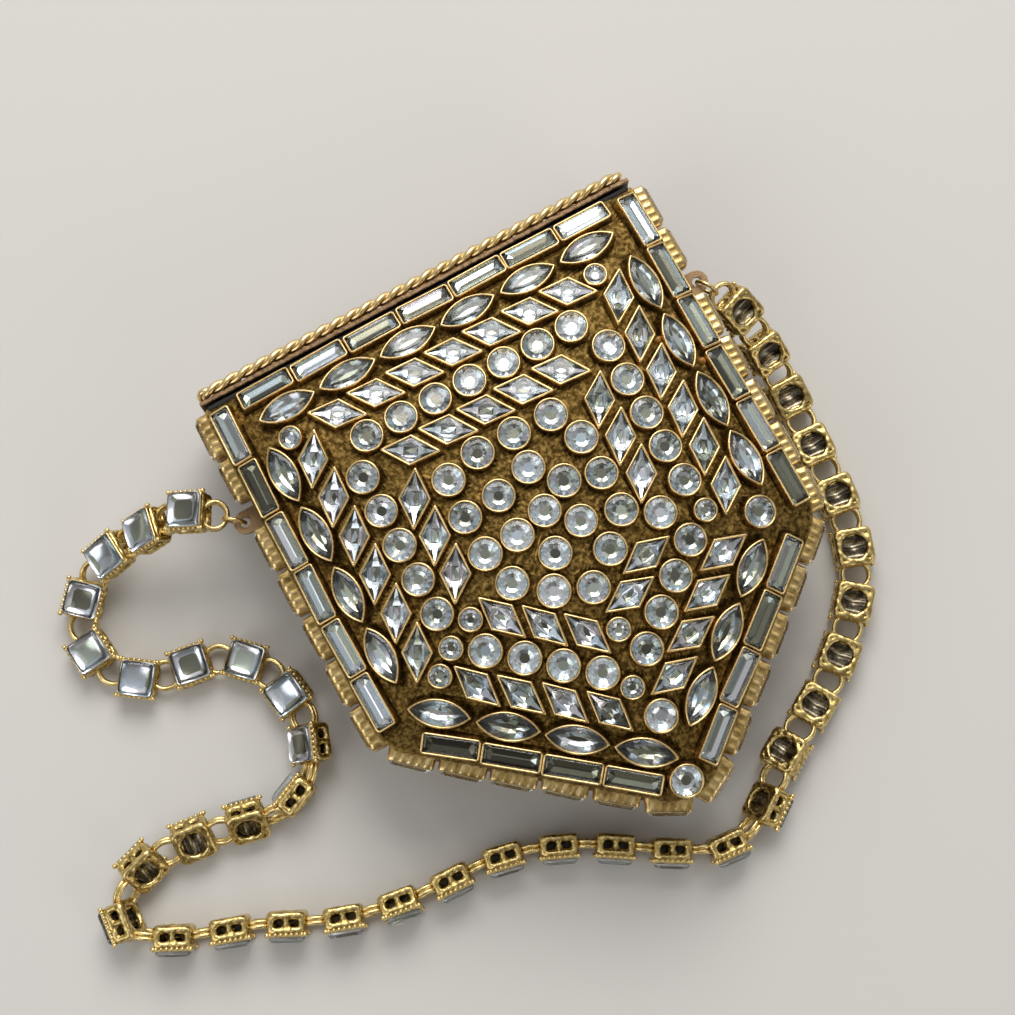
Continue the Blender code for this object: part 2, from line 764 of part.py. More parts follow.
def strap_curve():
    """The strap's route as close points on a smooth curve, with the roll at each."""
    route = strap_route()
    closed = [2 * route[0] - route[1]] + route + [2 * route[-1] - route[-2]]
    points = []
    for p0, p1, p2, p3 in zip(closed, closed[1:], closed[2:], closed[3:]):
        for k in range(ROUTE_SAMPLES):
            t = k / ROUTE_SAMPLES
            a = 2 * p1 + (p2 - p0) * t
            b = (2 * p0 - 5 * p1 + 4 * p2 - p3) * t * t
            c = (3 * p1 - p0 - 3 * p2 + p3) * t ** 3
            points.append((a + b + c) / 2)
    return points + [route[-1]]


def link_frames():
    """Each link's matrix: X along the strap, Z through its stone."""
    points = strap_curve()
    places = np.array([p[:3] for p in points])
    rolls = np.array([p[3] for p in points])
    run = np.concatenate([[0], np.cumsum(np.linalg.norm(np.diff(places, axis=0), axis=1))])
    spacing = run[-1] / (LINK_COUNT + 1)
    frames = []
    for k in range(1, LINK_COUNT + 1):
        s = spacing * k
        at = (s - spacing / 2, s, s + spacing / 2)
        before, here, after = (Vector([np.interp(x, run, line) for line in places.T]) for x in at)
        along = (after - before).normalized()
        across = Vector((0, 0, 1)).cross(along).normalized()
        up = along.cross(across)
        turn = Matrix((along, across, up)).transposed().to_4x4()
        turn = turn @ Matrix.Rotation(math.radians(np.interp(s, run, rolls)), 4, "X")
        lift = FLOOR_GAP - min((turn @ Vector(p)).z for p in link_corners())
        place = Vector((here.x, here.y, max(here.z, 0.0) + lift))
        frames.append(Matrix.Translation(place) @ turn)
    return frames


def link_corners():
    """The far corners of a link about its own middle: the frame's and the stone's."""
    half = LINK_SIZE / 2
    stone = LINK_STONE / 2 - LINK_STONE_RISE
    low = -LINK_HEIGHT / 2
    top = LINK_HEIGHT / 2
    reach = ((half, low), (half, top), (stone, top + LINK_STONE_RISE))
    return [(x * wide, y * wide, z) for wide, z in reach for x in (-1, 1) for y in (-1, 1)]


def make_setting_mesh():
    """A cast square setting, open at the back and through two arches, and its stone."""
    half = LINK_SIZE / 2
    low, top = -LINK_HEIGHT / 2, LINK_HEIGHT / 2
    setting = box("setting", (-half, -half, low), (half, half, top), STRAP_BRASS)
    hollow = half - LINK_WALL
    low_corner, high_corner = (-hollow, -hollow, low - LINK_WALL), (hollow, hollow, top - LINK_TOP)
    cutters = [box("back_cut", low_corner, high_corner, STRAP_BRASS)]
    inner, outer = POST_WIDTH / 2, half - CORNER_POST
    for side in (-1, 1):
        y_low, y_high = sorted((side * inner, side * outer))
        low_corner = (-half - LINK_WALL, y_low, low + WINDOW_LOW)
        high_corner = (-hollow + LINK_WALL, y_high, low + WINDOW_HIGH)
        cutters.append(box(f"arch_cut_{side}", low_corner, high_corner, STRAP_BRASS))
    joined(setting, cutters, "DIFFERENCE")
    wide = LINK_STONE / 2
    table = wide - LINK_STONE_RISE
    sink = LINK_TOP / 2
    levels = ((wide, top - sink), (wide, top), (table, top + LINK_STONE_RISE))
    square = ((-1, -1), (1, -1), (1, 1), (-1, 1))
    points = [(x * reach, y * reach, z) for reach, z in levels for x, y in square]
    faces = [[0, 1, 2, 3], [8, 9, 10, 11]]
    for first in (0, 4):
        for i in range(4):
            j = (i + 1) % 4
            faces.append([first + i, first + j, first + 4 + j, first + 4 + i])
    stone = add_mesh("setting_stone", points, faces, STRAP_BRASS)
    joined(setting, [stone])
    bpy.context.view_layer.update()
    graph = bpy.context.evaluated_depsgraph_get()
    mesh = bpy.data.meshes.new_from_object(setting.evaluated_get(graph))
    for helper in [setting, stone] + cutters:
        bpy.data.objects.remove(helper, do_unlink=True)
    return mesh


def lug_middle(side):
    """The middle of a lug's hole."""
    return Vector((side * (HALF_WIDTH + LUG_REACH - LUG_WIDTH / 2), TOP_Y - LUG_FROM_TOP, LUG_HEIGHT))


def outwards(side, frame):
    """The level direction from a lug's hole to the link next to it."""
    away = frame.translation - lug_middle(side)
    return Vector((away.x, away.y, 0.0)).normalized()


def make_lug_ring(name, side, frame):
    """An upright ring through a lug's hole, which the strap's end ring goes through."""
    away = outwards(side, frame)
    middle = lug_middle(side) + away * LUG_RING_RADIUS
    path = []
    for k in range(LUG_RING_SIDES):
        turn = turned((LUG_RING_RADIUS, 0), 2 * math.pi * k / LUG_RING_SIDES)
        path.append(middle + away * turn.x + Vector((0, 0, turn.y)))
    wire(name, path, STRAP_BRASS, closed=True)


def lug_end(side, frame):
    """Where the strap's end ring lies against the lug's ring: its two corners there."""
    away = outwards(side, frame)
    across = Vector((-away.y, away.x, 0.0)) * RING_WIDTH / 2 * RING_PINCH
    if across.dot(frame.col[1].to_3d()) < 0:
        across = -across
    middle = lug_middle(side) + away * (2 * LUG_RING_RADIUS - RING_WIRE - CLEARANCE)
    return [middle + across, middle - across]


def wire(name, path, finish, closed=False):
    """A square wire along a path, its corners mitred."""
    radius = RING_WIRE / 2
    points = []
    count = len(path)
    plane = (path[1] - path[0]).cross(path[-1] - path[0]).normalized()
    for i, here in enumerate(path):
        before = path[i - 1] if i or closed else here
        after = path[(i + 1) % count] if i < count - 1 or closed else here
        along = (after - before).normalized()
        across = plane.cross(along).normalized() * radius
        up = along.cross(across)
        points += [here + across + up, here - across + up, here - across - up, here + across - up]
    faces = [] if closed else [[0, 1, 2, 3], list(range(4 * count - 4, 4 * count))]
    for i in range(count if closed else count - 1):
        for k in range(4):
            a, b = 4 * i + k, 4 * i + (k + 1) % 4
            on = 4 if i < count - 1 else 4 - 4 * count
            faces.append([a, b, b + on, a + on])
    return add_mesh(name, points, faces, finish)


def ring_roots(frame):
    """Where a link's own ring grows from its closed end wall."""
    return [frame @ Vector((LINK_SIZE / 2 - LINK_WALL / 2, y, RING_HEIGHT)) for y in RING_RUNS]


def ring_hook(frame):
    """The ring's way in through a link's arches, round its post and out again."""
    outside = -LINK_SIZE / 2 - RING_WIRE / 2
    reach = -LINK_SIZE / 2 + LINK_WALL + RING_WIRE / 2 + CLEARANCE
    high, low = RING_RUNS
    way = ((outside, high), (reach, high * RING_PINCH), (reach, low * RING_PINCH), (outside, low))
    return [frame @ Vector((x, y, RING_HEIGHT)) for x, y in way]


def make_strap():
    """Square settings on their backs, sides and faces, each ring through the next."""
    frames = link_frames()
    mesh = make_setting_mesh()
    for k, frame in enumerate(frames):
        link = bpy.data.objects.new(f"strap_link_{k + 1:02d}", mesh)
        link.matrix_world = frame
        bpy.context.scene.collection.objects.link(link)
        high, low = ring_roots(frame)
        far_end = ring_hook(frames[k + 1]) if k + 1 < len(frames) else lug_end(1, frame)
        joined(link, [wire(f"ring_{k + 1:02d}", [high] + far_end + [low], STRAP_BRASS)])
    make_lug_ring("lug_ring_left", -1, frames[0])
    make_lug_ring("lug_ring_right", 1, frames[-1])
    high, low = lug_end(-1, frames[0])
    wire("strap_end_ring", [high] + ring_hook(frames[0]) + [low], STRAP_BRASS, closed=True)


def build():
    clear_scene()
    make_case()
    lid = add_empty("lid_axis", (0.0, AXIS_Y, AXIS_HEIGHT))
    make_lid(lid)
    make_hinge()
    make_lug("lug_left", -1)
    make_lug("lug_right", 1)
    make_strap()


build()
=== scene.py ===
"""The looks of a small brass evening bag set with clear stones, built round its
solids: the stone-set front, sides and lid, the twisted rope trim and the strap."""

import math
import random

import bmesh
import bpy
import numpy as np
from mathutils import Matrix, Vector, noise


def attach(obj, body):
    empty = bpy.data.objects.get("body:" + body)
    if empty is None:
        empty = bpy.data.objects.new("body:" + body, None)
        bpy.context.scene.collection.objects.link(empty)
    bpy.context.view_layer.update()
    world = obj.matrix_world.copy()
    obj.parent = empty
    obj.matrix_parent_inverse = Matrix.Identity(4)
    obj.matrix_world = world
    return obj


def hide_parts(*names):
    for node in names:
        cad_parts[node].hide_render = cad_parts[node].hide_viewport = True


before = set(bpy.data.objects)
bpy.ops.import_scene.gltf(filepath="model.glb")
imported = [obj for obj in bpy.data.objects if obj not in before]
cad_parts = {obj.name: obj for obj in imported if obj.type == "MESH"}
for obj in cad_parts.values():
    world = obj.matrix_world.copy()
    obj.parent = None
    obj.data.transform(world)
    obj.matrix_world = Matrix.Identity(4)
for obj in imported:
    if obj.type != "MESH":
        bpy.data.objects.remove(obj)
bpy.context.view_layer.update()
chance = random.Random(7)

# Case
WIDTH = 0.108
SIDE_LENGTH = 0.084
TIP_LENGTH = 0.044
CASE_DEPTH = 0.030
CORNER_RADIUS = 0.011
TOP_CORNER_RADIUS = 0.0015
SHEET = 0.0015
DOME_RISE = 0.008
DOME_REACH = 0.0497
DOME_POWER = 2.5
CLEARANCE = 0.0003
HALF_WIDTH = WIDTH / 2
TOP_Y = (SIDE_LENGTH + TIP_LENGTH) / 2
SHOULDER_Y = TOP_Y - SIDE_LENGTH
TIP_Y = -TOP_Y
BAND_LOW = SHEET + CLEARANCE
BAND_HIGH = CASE_DEPTH - BAND_LOW

# Stones: length and width of each bezel
SIZES = {
    "round": (0.0074, 0.0074),
    "baguette": (0.0126, 0.0051),
    "navette": (0.0136, 0.0064),
    "rhombus": (0.0130, 0.0066),
    "side_baguette": (0.0104, 0.0048),
    "square": (0.0078, 0.0078),
    "small_round": (0.0056, 0.0056),
}
RING_GAP = 0.00045
EDGE_MARGIN = 0.0009
# The front's rings from the edge inwards: kind, spacing, and the length left free at
# the ends of each of the five sides
FRONT_RINGS = (
    ("baguette", 0.0132, (0.0063, 0.0063, 0.0063, 0.0063, 0.0063)),
    ("navette", 0.0149, (0.0062, 0.0062, 0.0080, 0.0062, 0.0062)),
    ("rhombus", 0.0095, (0.0058, 0.0058, 0.0058, 0.0058, 0.0058)),
    ("round", 0.0084, (0.0045, 0.0045, 0.0045, 0.0045, 0.0045)),
    ("rhombus", 0.0092, (0.0040, 0.0052, 0.0060, 0.0052, 0.0052)),
)
RHOMBUS_SLANT = math.radians(-30)
CENTRE_RINGS = 2
CENTRE_SPACING = 0.0085
CENTRE_CORNER = 0.0044
SIDE_STONE_GAP = 0.0005
SIDE_ROW_GAP = 0.0005
SIDE_BUMPS = 5
SIDE_STRETCH = 1.25
LUG_SLOT = 0.0060
LID_ROUNDS = 12

# Lid, hinge and lugs
MOUTH_PROUD = 0.0007
LID_SHEET = 0.0010
LID_LOW_Y = TOP_Y + 0.0010
LID_TOP_Y = LID_LOW_Y + LID_SHEET
ROPE_WIDTH = 0.0028
ROPE_BACK_END = 0.0075
ROPE_PITCH = 0.0076
ROPE_STRAND = ROPE_WIDTH * 0.30
ROPE_CORNER = 0.0016
AXIS_HEIGHT = 0.0024
BARREL_RADIUS = 0.0017
BORE_RADIUS = 0.0010
BARREL_LENGTH = 0.0110
BARREL_COUNT = 5
HINGE_LEAF = 0.0008
LEAF_REACH = 0.0070
AXIS_Y = TOP_Y + MOUTH_PROUD + CLEARANCE + BARREL_RADIUS
LID_BACK_Z = AXIS_HEIGHT + BARREL_RADIUS + CLEARANCE
LUG_FROM_TOP = 0.0250
LUG_HEIGHT = CASE_DEPTH - 0.0085
LUG_WIDTH = 0.0052
LUG_REACH = 0.0062

# Strap
LINK_SIZE = 0.0090
LINK_WALL = 0.0010
LINK_HEIGHT = 0.0052
LINK_COUNT = 37
LINK_STONE = 0.0076
LINK_STONE_RISE = 0.0016
RING_HEIGHT = -0.0002
RING_WIRE = 0.0009
RING_HALF = 0.0031
RING_STEPS = 36
JUMP_WIRE = 0.00056
JUMP_SHIFT = 0.00052
LINK_KINDS = 3
LINK_RAIL = 0.00092
LINK_POSTS = (-0.0019, -0.0006, 0.0006, 0.0019)
CORNER_POST = 0.00082
MIDDLE_POST = 0.00065
ARCH_WIRE = 0.00056
ARCH_RADIUS = 0.0015
ARCH_MIDDLE = 0.0018
BACK_OPENING = 0.0035
BACK_WIRE = 0.00072
CAST_GRAIN = 0.00030
BEADS = 7
BEAD_SPACING = 0.00118
BEAD_RADIUS = 0.00047
CORNER_BEAD_RADIUS = 0.00060
LINK_STONE_LIFT = 0.0004
# The rim round a link's stone: distance out from the stone and height over the metal
LINK_LIP = (
    (0.0003, -0.0006),
    (0.00022, 0.0003),
    (0.00008, 0.00042),
    (-0.00004, 0.0003),
    (-0.00006, -0.0006),
)
LUG_RING_RADIUS = 0.0026
FLOOR_GAP = 0.0002
ROUTE_SAMPLES = 24
ROUTE_FROM_LEFT_LUG = (
    (0.0, 0.0, 0.87, 0),
    (-10.9, 8.5, 0.79, 5),
    (-22.4, 10.0, 0.42, 10),
    (-34.4, 10.0, 0.09, 0),
    (-43.9, 2.0, 0.0, 0),
    (-44.4, -10.5, 0.0, 10),
    (-34.9, -19.0, 0.0, 0),
    (-22.4, -20.5, 0.0, 0),
    (-12.9, -28.0, 0.0, 0),
    (-9.9, -40.0, 0.0, 20),
    (-12.4, -52.0, 0.0, 60),
)
ROUTE_FROM_POINT = (
    (-80.5, 44.0, 0.0, 100),
    (-92.0, 46.0, 0.0, 140),
    (-105.0, 48.0, 0.0, 150),
    (-117.5, 46.5, 0.0, 130),
    (-123.5, 37.0, 0.0, 100),
    (-112.5, 29.5, 0.0, 90),
    (-98.0, 24.5, 0.0, 90),
    (-84.5, 18.0, 0.0, 90),
    (-71.5, 14.0, 0.0, 80),
    (-58.5, 12.5, 0.0, 90),
    (-46.0, 12.0, 0.0, 90),
    (-33.0, 8.5, 0.0, 90),
    (-21.0, 2.5, 0.0, 90),
    (-9.5, -5.0, 0.0, 90),
    (2.5, -10.5, 0.0, 90),
    (13.5, -8.0, 0.0, 120),
    (22.0, -0.5, 0.0, 150),
    (32.5, 5.0, 0.0, 170),
    (43.0, 11.5, 0.0, 180),
    (52.5, 20.0, 0.0, 180),
    (60.5, 30.5, 0.0, 180),
)
ROUTE_FROM_RIGHT_LUG = (
    (6.9, -57.5, 0.0, 180),
    (7.9, -44.0, 0.0, 180),
    (8.9, -30.5, 0.0, 180),
    (7.9, -19.5, 0.3, 180),
    (5.4, -8.5, 0.65, 180),
    (0.0, 0.0, 0.87, 180),
)

# Camera: the photograph's right, up and backward directions, its place and lens
VIEW_RIGHT = Vector((0.878, -0.479, 0.0))
VIEW_UP = Vector((0.4728, 0.8672, 0.1564))
VIEW_PLACE = Vector((-0.03855, -0.04773, 0.46658))
VIEW_LENS = 71.8
UP = Vector((0, 0, 1))

# Looks: the profile of a bezel as distance in from its outline and height
BEZEL_PROFILE = (
    (-0.00014, -0.0008),
    (-0.00012, 0.0001),
    (-0.00002, 0.0005),
    (0.00004, 0.0012),
    (0.00009, 0.00172),
    (0.00016, 0.00193),
    (0.00027, 0.00203),
    (0.00041, 0.00203),
    (0.00054, 0.00192),
    (0.00063, 0.00165),
    (0.00067, 0.00105),
)
# How much larger than its solid a bezel is drawn, along and across
FULLNESS = {
    "rhombus": (1.10, 1.11),
    "navette": (1.045, 1.045),
    "round": (1.04, 1.04),
    "baguette": (1.045, 1.02),
}
AS_DRAWN = (1.0, 1.0)
# Round stones added where the rings leave room: the gap, and the step of the search
SPARE_GAP = 0.0002
SPARE_STEP = 0.0008
NAVETTE_END = 0.985
RHOMBUS_TIP = 0.00024
BAGUETTE_TIP = 0.0009
TIP_LEAST = 0.00015
FACET_CLIP = 0.0006
# Random spread of the stones' painted reflection, from facet to facet and from stone to stone
TONE_SPREAD = 0.17
STONE_TONE = 0.18
STONE_SEAT = 0.00054
GIRDLE_HEIGHT = 0.00156
ROUND_POINTS = 28
BUMPED_POINTS = 120
BUMP_HEIGHT = 0.00026
BUMP_SINK = 0.00010
CORNER_STEPS = 5
GROUND_TURNS = 480
GROUND_RINGS = 84
GROUND_MIDDLE = Vector((0.0, 0.006))
GROUND_LIFT = 0.0002
WALL_TURNS = 400
WALL_ROWS = 34
WORN_EDGE = 0.001
SINK = 0.0004
GRAIN_SIZE = 0.0011
GRAIN_HEIGHT = 0.00022


def linked(name, data):
    made = bpy.data.objects.new(name, data)
    bpy.context.scene.collection.objects.link(made)
    return made


def make_camera():
    back = VIEW_RIGHT.cross(VIEW_UP).normalized()
    turn = Matrix((VIEW_RIGHT.normalized(), VIEW_UP.normalized(), back)).transposed()
    data = bpy.data.cameras.new("camera")
    data.lens = VIEW_LENS
    data.sensor_width = 36.0
    data.clip_start = 0.01
    camera = linked("camera", data)
    camera.matrix_world = Matrix.Translation(VIEW_PLACE) @ turn.to_4x4()
    bpy.context.scene.camera = camera


class Shape:
    """Points and faces gathered for one mesh, with a material slot and tone a face."""

    def __init__(self):
        self.points = []
        self.faces = []
        self.slots = []
        self.tones = []

    def add(self, points, faces, slot=0, tones=None):
        first = len(self.points)
        self.points += [tuple(p) for p in points]
        self.faces += [[first + i for i in face] for face in faces]
        self.slots += slot if isinstance(slot, list) else [slot] * len(faces)
        self.tones += tones or [0.5] * len(faces)

    def mesh(self, name, materials, sharp=None):
        made = bpy.data.meshes.new(name)
        made.from_pydata(self.points, [], self.faces)
        for item in materials:
            made.materials.append(item)
        made.polygons.foreach_set("material_index", self.slots)
        tone = made.attributes.new("tone", "FLOAT", "FACE")
        tone.data.foreach_set("value", self.tones)
        made.polygons.foreach_set("use_smooth", [sharp is not None] * len(self.faces))
        if sharp is not None:
            made.set_sharp_from_angle(angle=math.radians(sharp))
        made.update()
        return made

    def make(self, name, materials, body, sharp=None, replaced=()):
        put(name, self.mesh(name, materials, sharp), body, replaced)


def put(name, mesh, body, replaced=(), place=None):
    """An object of this mesh that rides on a body."""
    made = linked(name, mesh)
    if place is not None:
        made.matrix_world = place
    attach(made, body)
    if replaced:
        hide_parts(*replaced)


def loft(rings, closed=True, caps=(False, False)):
    """Faces between rings of points that follow each other."""
    n = len(rings[0])
    points = [p for ring in rings for p in ring]
    faces = []
    for r in range(len(rings) - 1):
        for i in range(n if closed else n - 1):
            j = (i + 1) % n
            a = r * n
            faces.append([a + i, a + j, a + n + j, a + n + i])
    if caps[0]:
        faces.append(list(range(n))[::-1])
    if caps[1]:
        faces.append(list(range(len(points) - n, len(points))))
    return points, faces


def turned(point, angle):
    c, s = math.cos(angle), math.sin(angle)
    return Vector((point[0] * c - point[1] * s, point[0] * s + point[1] * c))


def circle(radius, count):
    step = 2 * math.pi / count
    return [turned((radius, 0), step * k) for k in range(count)]


def oblong(a, b):
    return [Vector((a, -b)), Vector((a, b)), Vector((-a, b)), Vector((-a, -b))]


def diamond(a, b):
    return [Vector((a, 0)), Vector((0, b)), Vector((-a, 0)), Vector((0, -b))]


def at_height(flat, z):
    return [Vector((x, y, z)) for x, y in flat]


def run_along(points):
    """The distance along a path from its first point to each of them."""
    return np.concatenate([[0], np.cumsum(np.linalg.norm(np.diff(points, axis=0), axis=1))])


def point_at(run, points, s):
    return Vector([np.interp(s, run, line) for line in points.T])


def arc(before, here, after, radius, steps):
    """The rounding of a corner, anticlockwise."""
    back = (before - here).normalized()
    on = (after - here).normalized()
    half = back.angle(on) / 2
    centre = here + (back + on).normalized() * radius / math.sin(half)
    start = here + back * radius / math.tan(half) - centre
    sweep = math.pi - 2 * half
    return [centre + turned(start, sweep * k / steps) for k in range(steps + 1)]


def rounded(corners, radii, steps=CORNER_STEPS):
    path = []
    befores = corners[-1:] + corners[:-1]
    afters = corners[1:] + corners[:1]
    for before, here, after, radius in zip(befores, corners, afters, radii):
        path += arc(before, here, after, radius, steps)
    return path


def inset(loop, distance):
    moved = []
    for before, here, after in zip(loop[-1:] + loop[:-1], loop, loop[1:] + loop[:1]):
        first = (here - before).normalized()
        second = (after - here).normalized()
        n1 = Vector((-first.y, first.x))
        n2 = Vector((-second.y, second.x))
        middle = (n1 + n2).normalized()
        moved.append(here + middle * distance / middle.dot(n1))
    return moved


def case_corners(margin=0.0):
    sharp = [
        Vector((-HALF_WIDTH, TOP_Y)),
        Vector((-HALF_WIDTH, SHOULDER_Y)),
        Vector((0.0, TIP_Y)),
        Vector((HALF_WIDTH, SHOULDER_Y)),
        Vector((HALF_WIDTH, TOP_Y)),
    ]
    return inset(sharp, margin)


def case_outline(margin=0.0, steps=CORNER_STEPS):
    radius = max(CORNER_RADIUS - margin, CORNER_RADIUS / 4)
    radii = (TOP_CORNER_RADIUS, radius, radius, radius, TOP_CORNER_RADIUS)
    return rounded(case_corners(margin), radii, steps)


def evenly(path, count, closed=True):
    """Points spread evenly along a path."""
    ends = path + path[:1] if closed else path
    flat = np.array([tuple(p) for p in ends])
    run = run_along(flat)
    at = np.linspace(0, run[-1], count + 1 if closed else count)
    at = at[:-1] if closed else at
    return np.stack([np.interp(at, run, line) for line in flat.T], axis=1)


def side_distances(x, y):
    return [(x - here.x) * -along.y + (y - here.y) * along.x for along, here in SIDES]


def dome_height(x, y):
    """The front's height at a point: a pillow that rises from the edge."""
    reach = side_distances(x, y)
    softness = CORNER_RADIUS / 4
    low = min(reach)
    low -= softness * math.log(sum(math.exp((low - v) / softness) for v in reach))
    depth = min(max(low, 0.0) / DOME_REACH, 1.0)
    return CASE_DEPTH + DOME_RISE * (1 - (1 - depth) ** DOME_POWER)


def case_sides():
    corners = case_corners()
    pairs = zip(corners, corners[1:] + corners[:1])
    return [((after - here).normalized(), here) for here, after in pairs]


SIDES = case_sides()


def outline(kind, d=0.0):
    """A bezel's smooth outline moved in by d, with as many points for any d."""
    length, width = SIZES[kind]
    a, b = length / 2, width / 2
    if kind in ROUNDS:
        return circle(a - d, ROUND_POINTS)
    if kind == "navette":
        radius = (a * a + b * b) / (2 * b)
        centre = radius - b
        radius -= d
        end = math.acos(min(centre / radius, 1.0)) * NAVETTE_END
        turns = [end * (1 - 2 * k / 15) for k in range(16)]
        half = [Vector((radius * math.sin(t), radius * math.cos(t) - centre)) for t in turns]
        return half + [-p for p in half]
    if kind == "rhombus":
        share = 1 - d / (a * b / math.hypot(a, b))
        return rounded([p * share for p in diamond(a, b)], [RHOMBUS_TIP * share] * 4, 4)
    return rounded(oblong(a - d, b - d), [max(BAGUETTE_TIP - d, TIP_LEAST)] * 4, 4)


def facet_outline(kind, d):
    """The girdle of a stone cut flat, moved in by d."""
    length, width = SIZES[kind]
    a, b = length / 2, width / 2
    if kind in ROUNDS:
        return circle(a - d, 12)
    if kind == "navette":
        smooth = outline("navette", d)
        return smooth[:16:3] + smooth[16::3]
    if kind == "rhombus":
        share = 1 - d / (a * b / math.hypot(a, b))
        return [p * share for p in diamond(a, b)]
    a, b = a - d, b - d
    clip = min(FACET_CLIP, b / 2)
    half = [Vector((a, b - clip)), Vector((a - clip, b))]
    half += [Vector((clip - a, b)), Vector((-a, b - clip))]
    return half + [-p for p in half]


# Each stone's cut: rings from the bottom up to the table, as a share of the way in
# from the girdle to the middle, a height in millimetres, and the tone of the facets
# that end there, a painted reflection in the foil, lighter towards the girdle
CUTS = {
    "round": (
        (0.66, -0.95, 0.22),
        (0.40, -0.80, 0.42),
        (0.0, 0.0, 0.80),
        (0.16, 0.28, 0.5),
        (0.36, 0.42, 0.5),
    ),
    "baguette": (
        (0.92, -0.92, 0.26),
        (0.36, -0.74, 0.30),
        (0.15, -0.36, 0.50),
        (0.0, 0.0, 0.68),
        (0.18, 0.26, 0.5),
        (0.28, 0.32, 0.5),
    ),
    "navette": (
        (0.80, -1.05, 0.25),
        (0.46, -0.75, 0.36),
        (0.0, 0.0, 0.66),
        (0.22, 0.34, 0.5),
        (0.42, 0.48, 0.5),
    ),
    "rhombus": (
        (0.80, -1.00, 0.28),
        (0.44, -0.72, 0.42),
        (0.0, 0.0, 0.64),
        (0.22, 0.32, 0.5),
        (0.42, 0.46, 0.5),
    ),
    "side_baguette": (
        (0.55, -0.9, 0.5),
        (0.30, -0.6, 0.6),
        (0.0, 0.0, 0.7),
        (0.0, 0.45, 0.5),
        (0.22, 0.95, 0.5),
        (0.40, 1.05, 0.5),
    ),
    "square": (
        (0.46, -0.50, 0.36),
        (0.20, -0.36, 0.52),
        (0.0, 0.0, 0.76),
        (0.0, 0.40, 0.5),
        (0.06, 0.95, 0.5),
        (0.20, 1.25, 0.5),
    ),
}
CUTS["small_round"] = CUTS["round"]
ROUNDS = {"round", "small_round"}
TWISTED = ROUNDS | {"navette", "rhombus"}


def add_cut_stone(shape, kind, seat, place, tone_shift=0.0):
    """A stone of glass over foil: the crown takes slot 0, the pavilion slot 1."""
    length, width = SIZES[kind]
    inner = width / 2 - seat
    if kind == "rhombus":
        inner = length * width / 4 / math.hypot(length / 2, width / 2) - seat
    rings = []
    for share, height, _ in CUTS[kind]:
        flat = facet_outline(kind, seat + inner * min(share, 0.97))
        if kind in TWISTED and len(rings) % 2:
            flat = [a.lerp(b, 0.5) for a, b in zip(flat, flat[1:] + flat[:1])]
        rings.append([place @ p for p in at_height(flat, height / 1000)])
    girdle = [height for _, height, _ in CUTS[kind]].index(0.0)
    n = len(rings[0])
    faces = [list(range(n))[::-1]]
    slots = [1]
    base = [CUTS[kind][0][2]]
    for r in range(len(rings) - 1):
        a, b = r * n, (r + 1) * n
        for i in range(n):
            j = (i + 1) % n
            if kind not in TWISTED:
                faces.append([a + i, a + j, b + j, b + i])
            elif r % 2:
                faces += [[a + i, b + j, b + i], [a + i, a + j, b + j]]
            else:
                faces += [[a + i, a + j, b + i], [a + j, b + j, b + i]]
        slots += [1 if r < girdle else 0] * (len(faces) - len(slots))
        base += [CUTS[kind][r + 1][2]] * (len(faces) - len(base))
    faces.append([(len(rings) - 1) * n + i for i in range(n)])
    slots.append(0)
    base.append(0.5)
    # Painted reflection: each facet's foil tone is the cut's tone spread at random
    tones = [chance.gauss(tone + tone_shift, TONE_SPREAD) for tone in base]
    tones = [min(max(tone, 0.0), 1.0) for tone in tones]
    shape.add([p for ring in rings for p in ring], faces, slots, tones)


def bumped(kind, flat, d):
    """A bezel's outline whose long walls are pressed out into bumps."""
    length, width = SIZES[kind]
    moved = []
    for x, y in flat:
        reach = 0.0
        if abs(y) > width / 2 - d - 0.0002:
            swing = (x / (length - 0.0012) + 0.5) * SIDE_BUMPS
            reach = BUMP_HEIGHT * abs(math.sin(math.pi * swing)) - BUMP_SINK
        moved.append((x, y + math.copysign(reach, y)))
    return moved


def add_bezel(shape, kind, place):
    rings = []
    for d, height in BEZEL_PROFILE:
        flat = outline(kind, d)
        if kind == "side_baguette":
            flat = evenly(flat, BUMPED_POINTS)
            if 0.0002 < height < 0.0018 and d < 0.0003:
                flat = bumped(kind, flat, d)
        rings.append([place @ p for p in at_height(flat, height)])
    shape.add(*loft(rings))


def hand_set(place, height=0.0001, angle=1.6):
    """A stone's place with the small tilt and rise of hand work."""
    tilt = Matrix.Rotation(math.radians(chance.uniform(-angle, angle)), 4, "X")
    tilt = tilt @ Matrix.Rotation(math.radians(chance.uniform(-angle, angle)), 4, "Y")
    tilt = tilt @ Matrix.Rotation(math.radians(chance.uniform(-angle, angle)), 4, "Z")
    size = chance.uniform(0.99, 1.02)
    rise = Matrix.Translation((0, 0, chance.uniform(-height, height)))
    return place @ rise @ tilt @ Matrix.Scale(size, 4)


def ring_insets():
    kinds = [ring[0] for ring in FRONT_RINGS] + ["round"] * CENTRE_RINGS
    place = EDGE_MARGIN + SIZES[kinds[0]][1] / 2
    insets = [place]
    for before, kind in zip(kinds, kinds[1:]):
        place += (SIZES[before][1] + SIZES[kind][1]) / 2 + RING_GAP
        insets.append(place)
    return insets


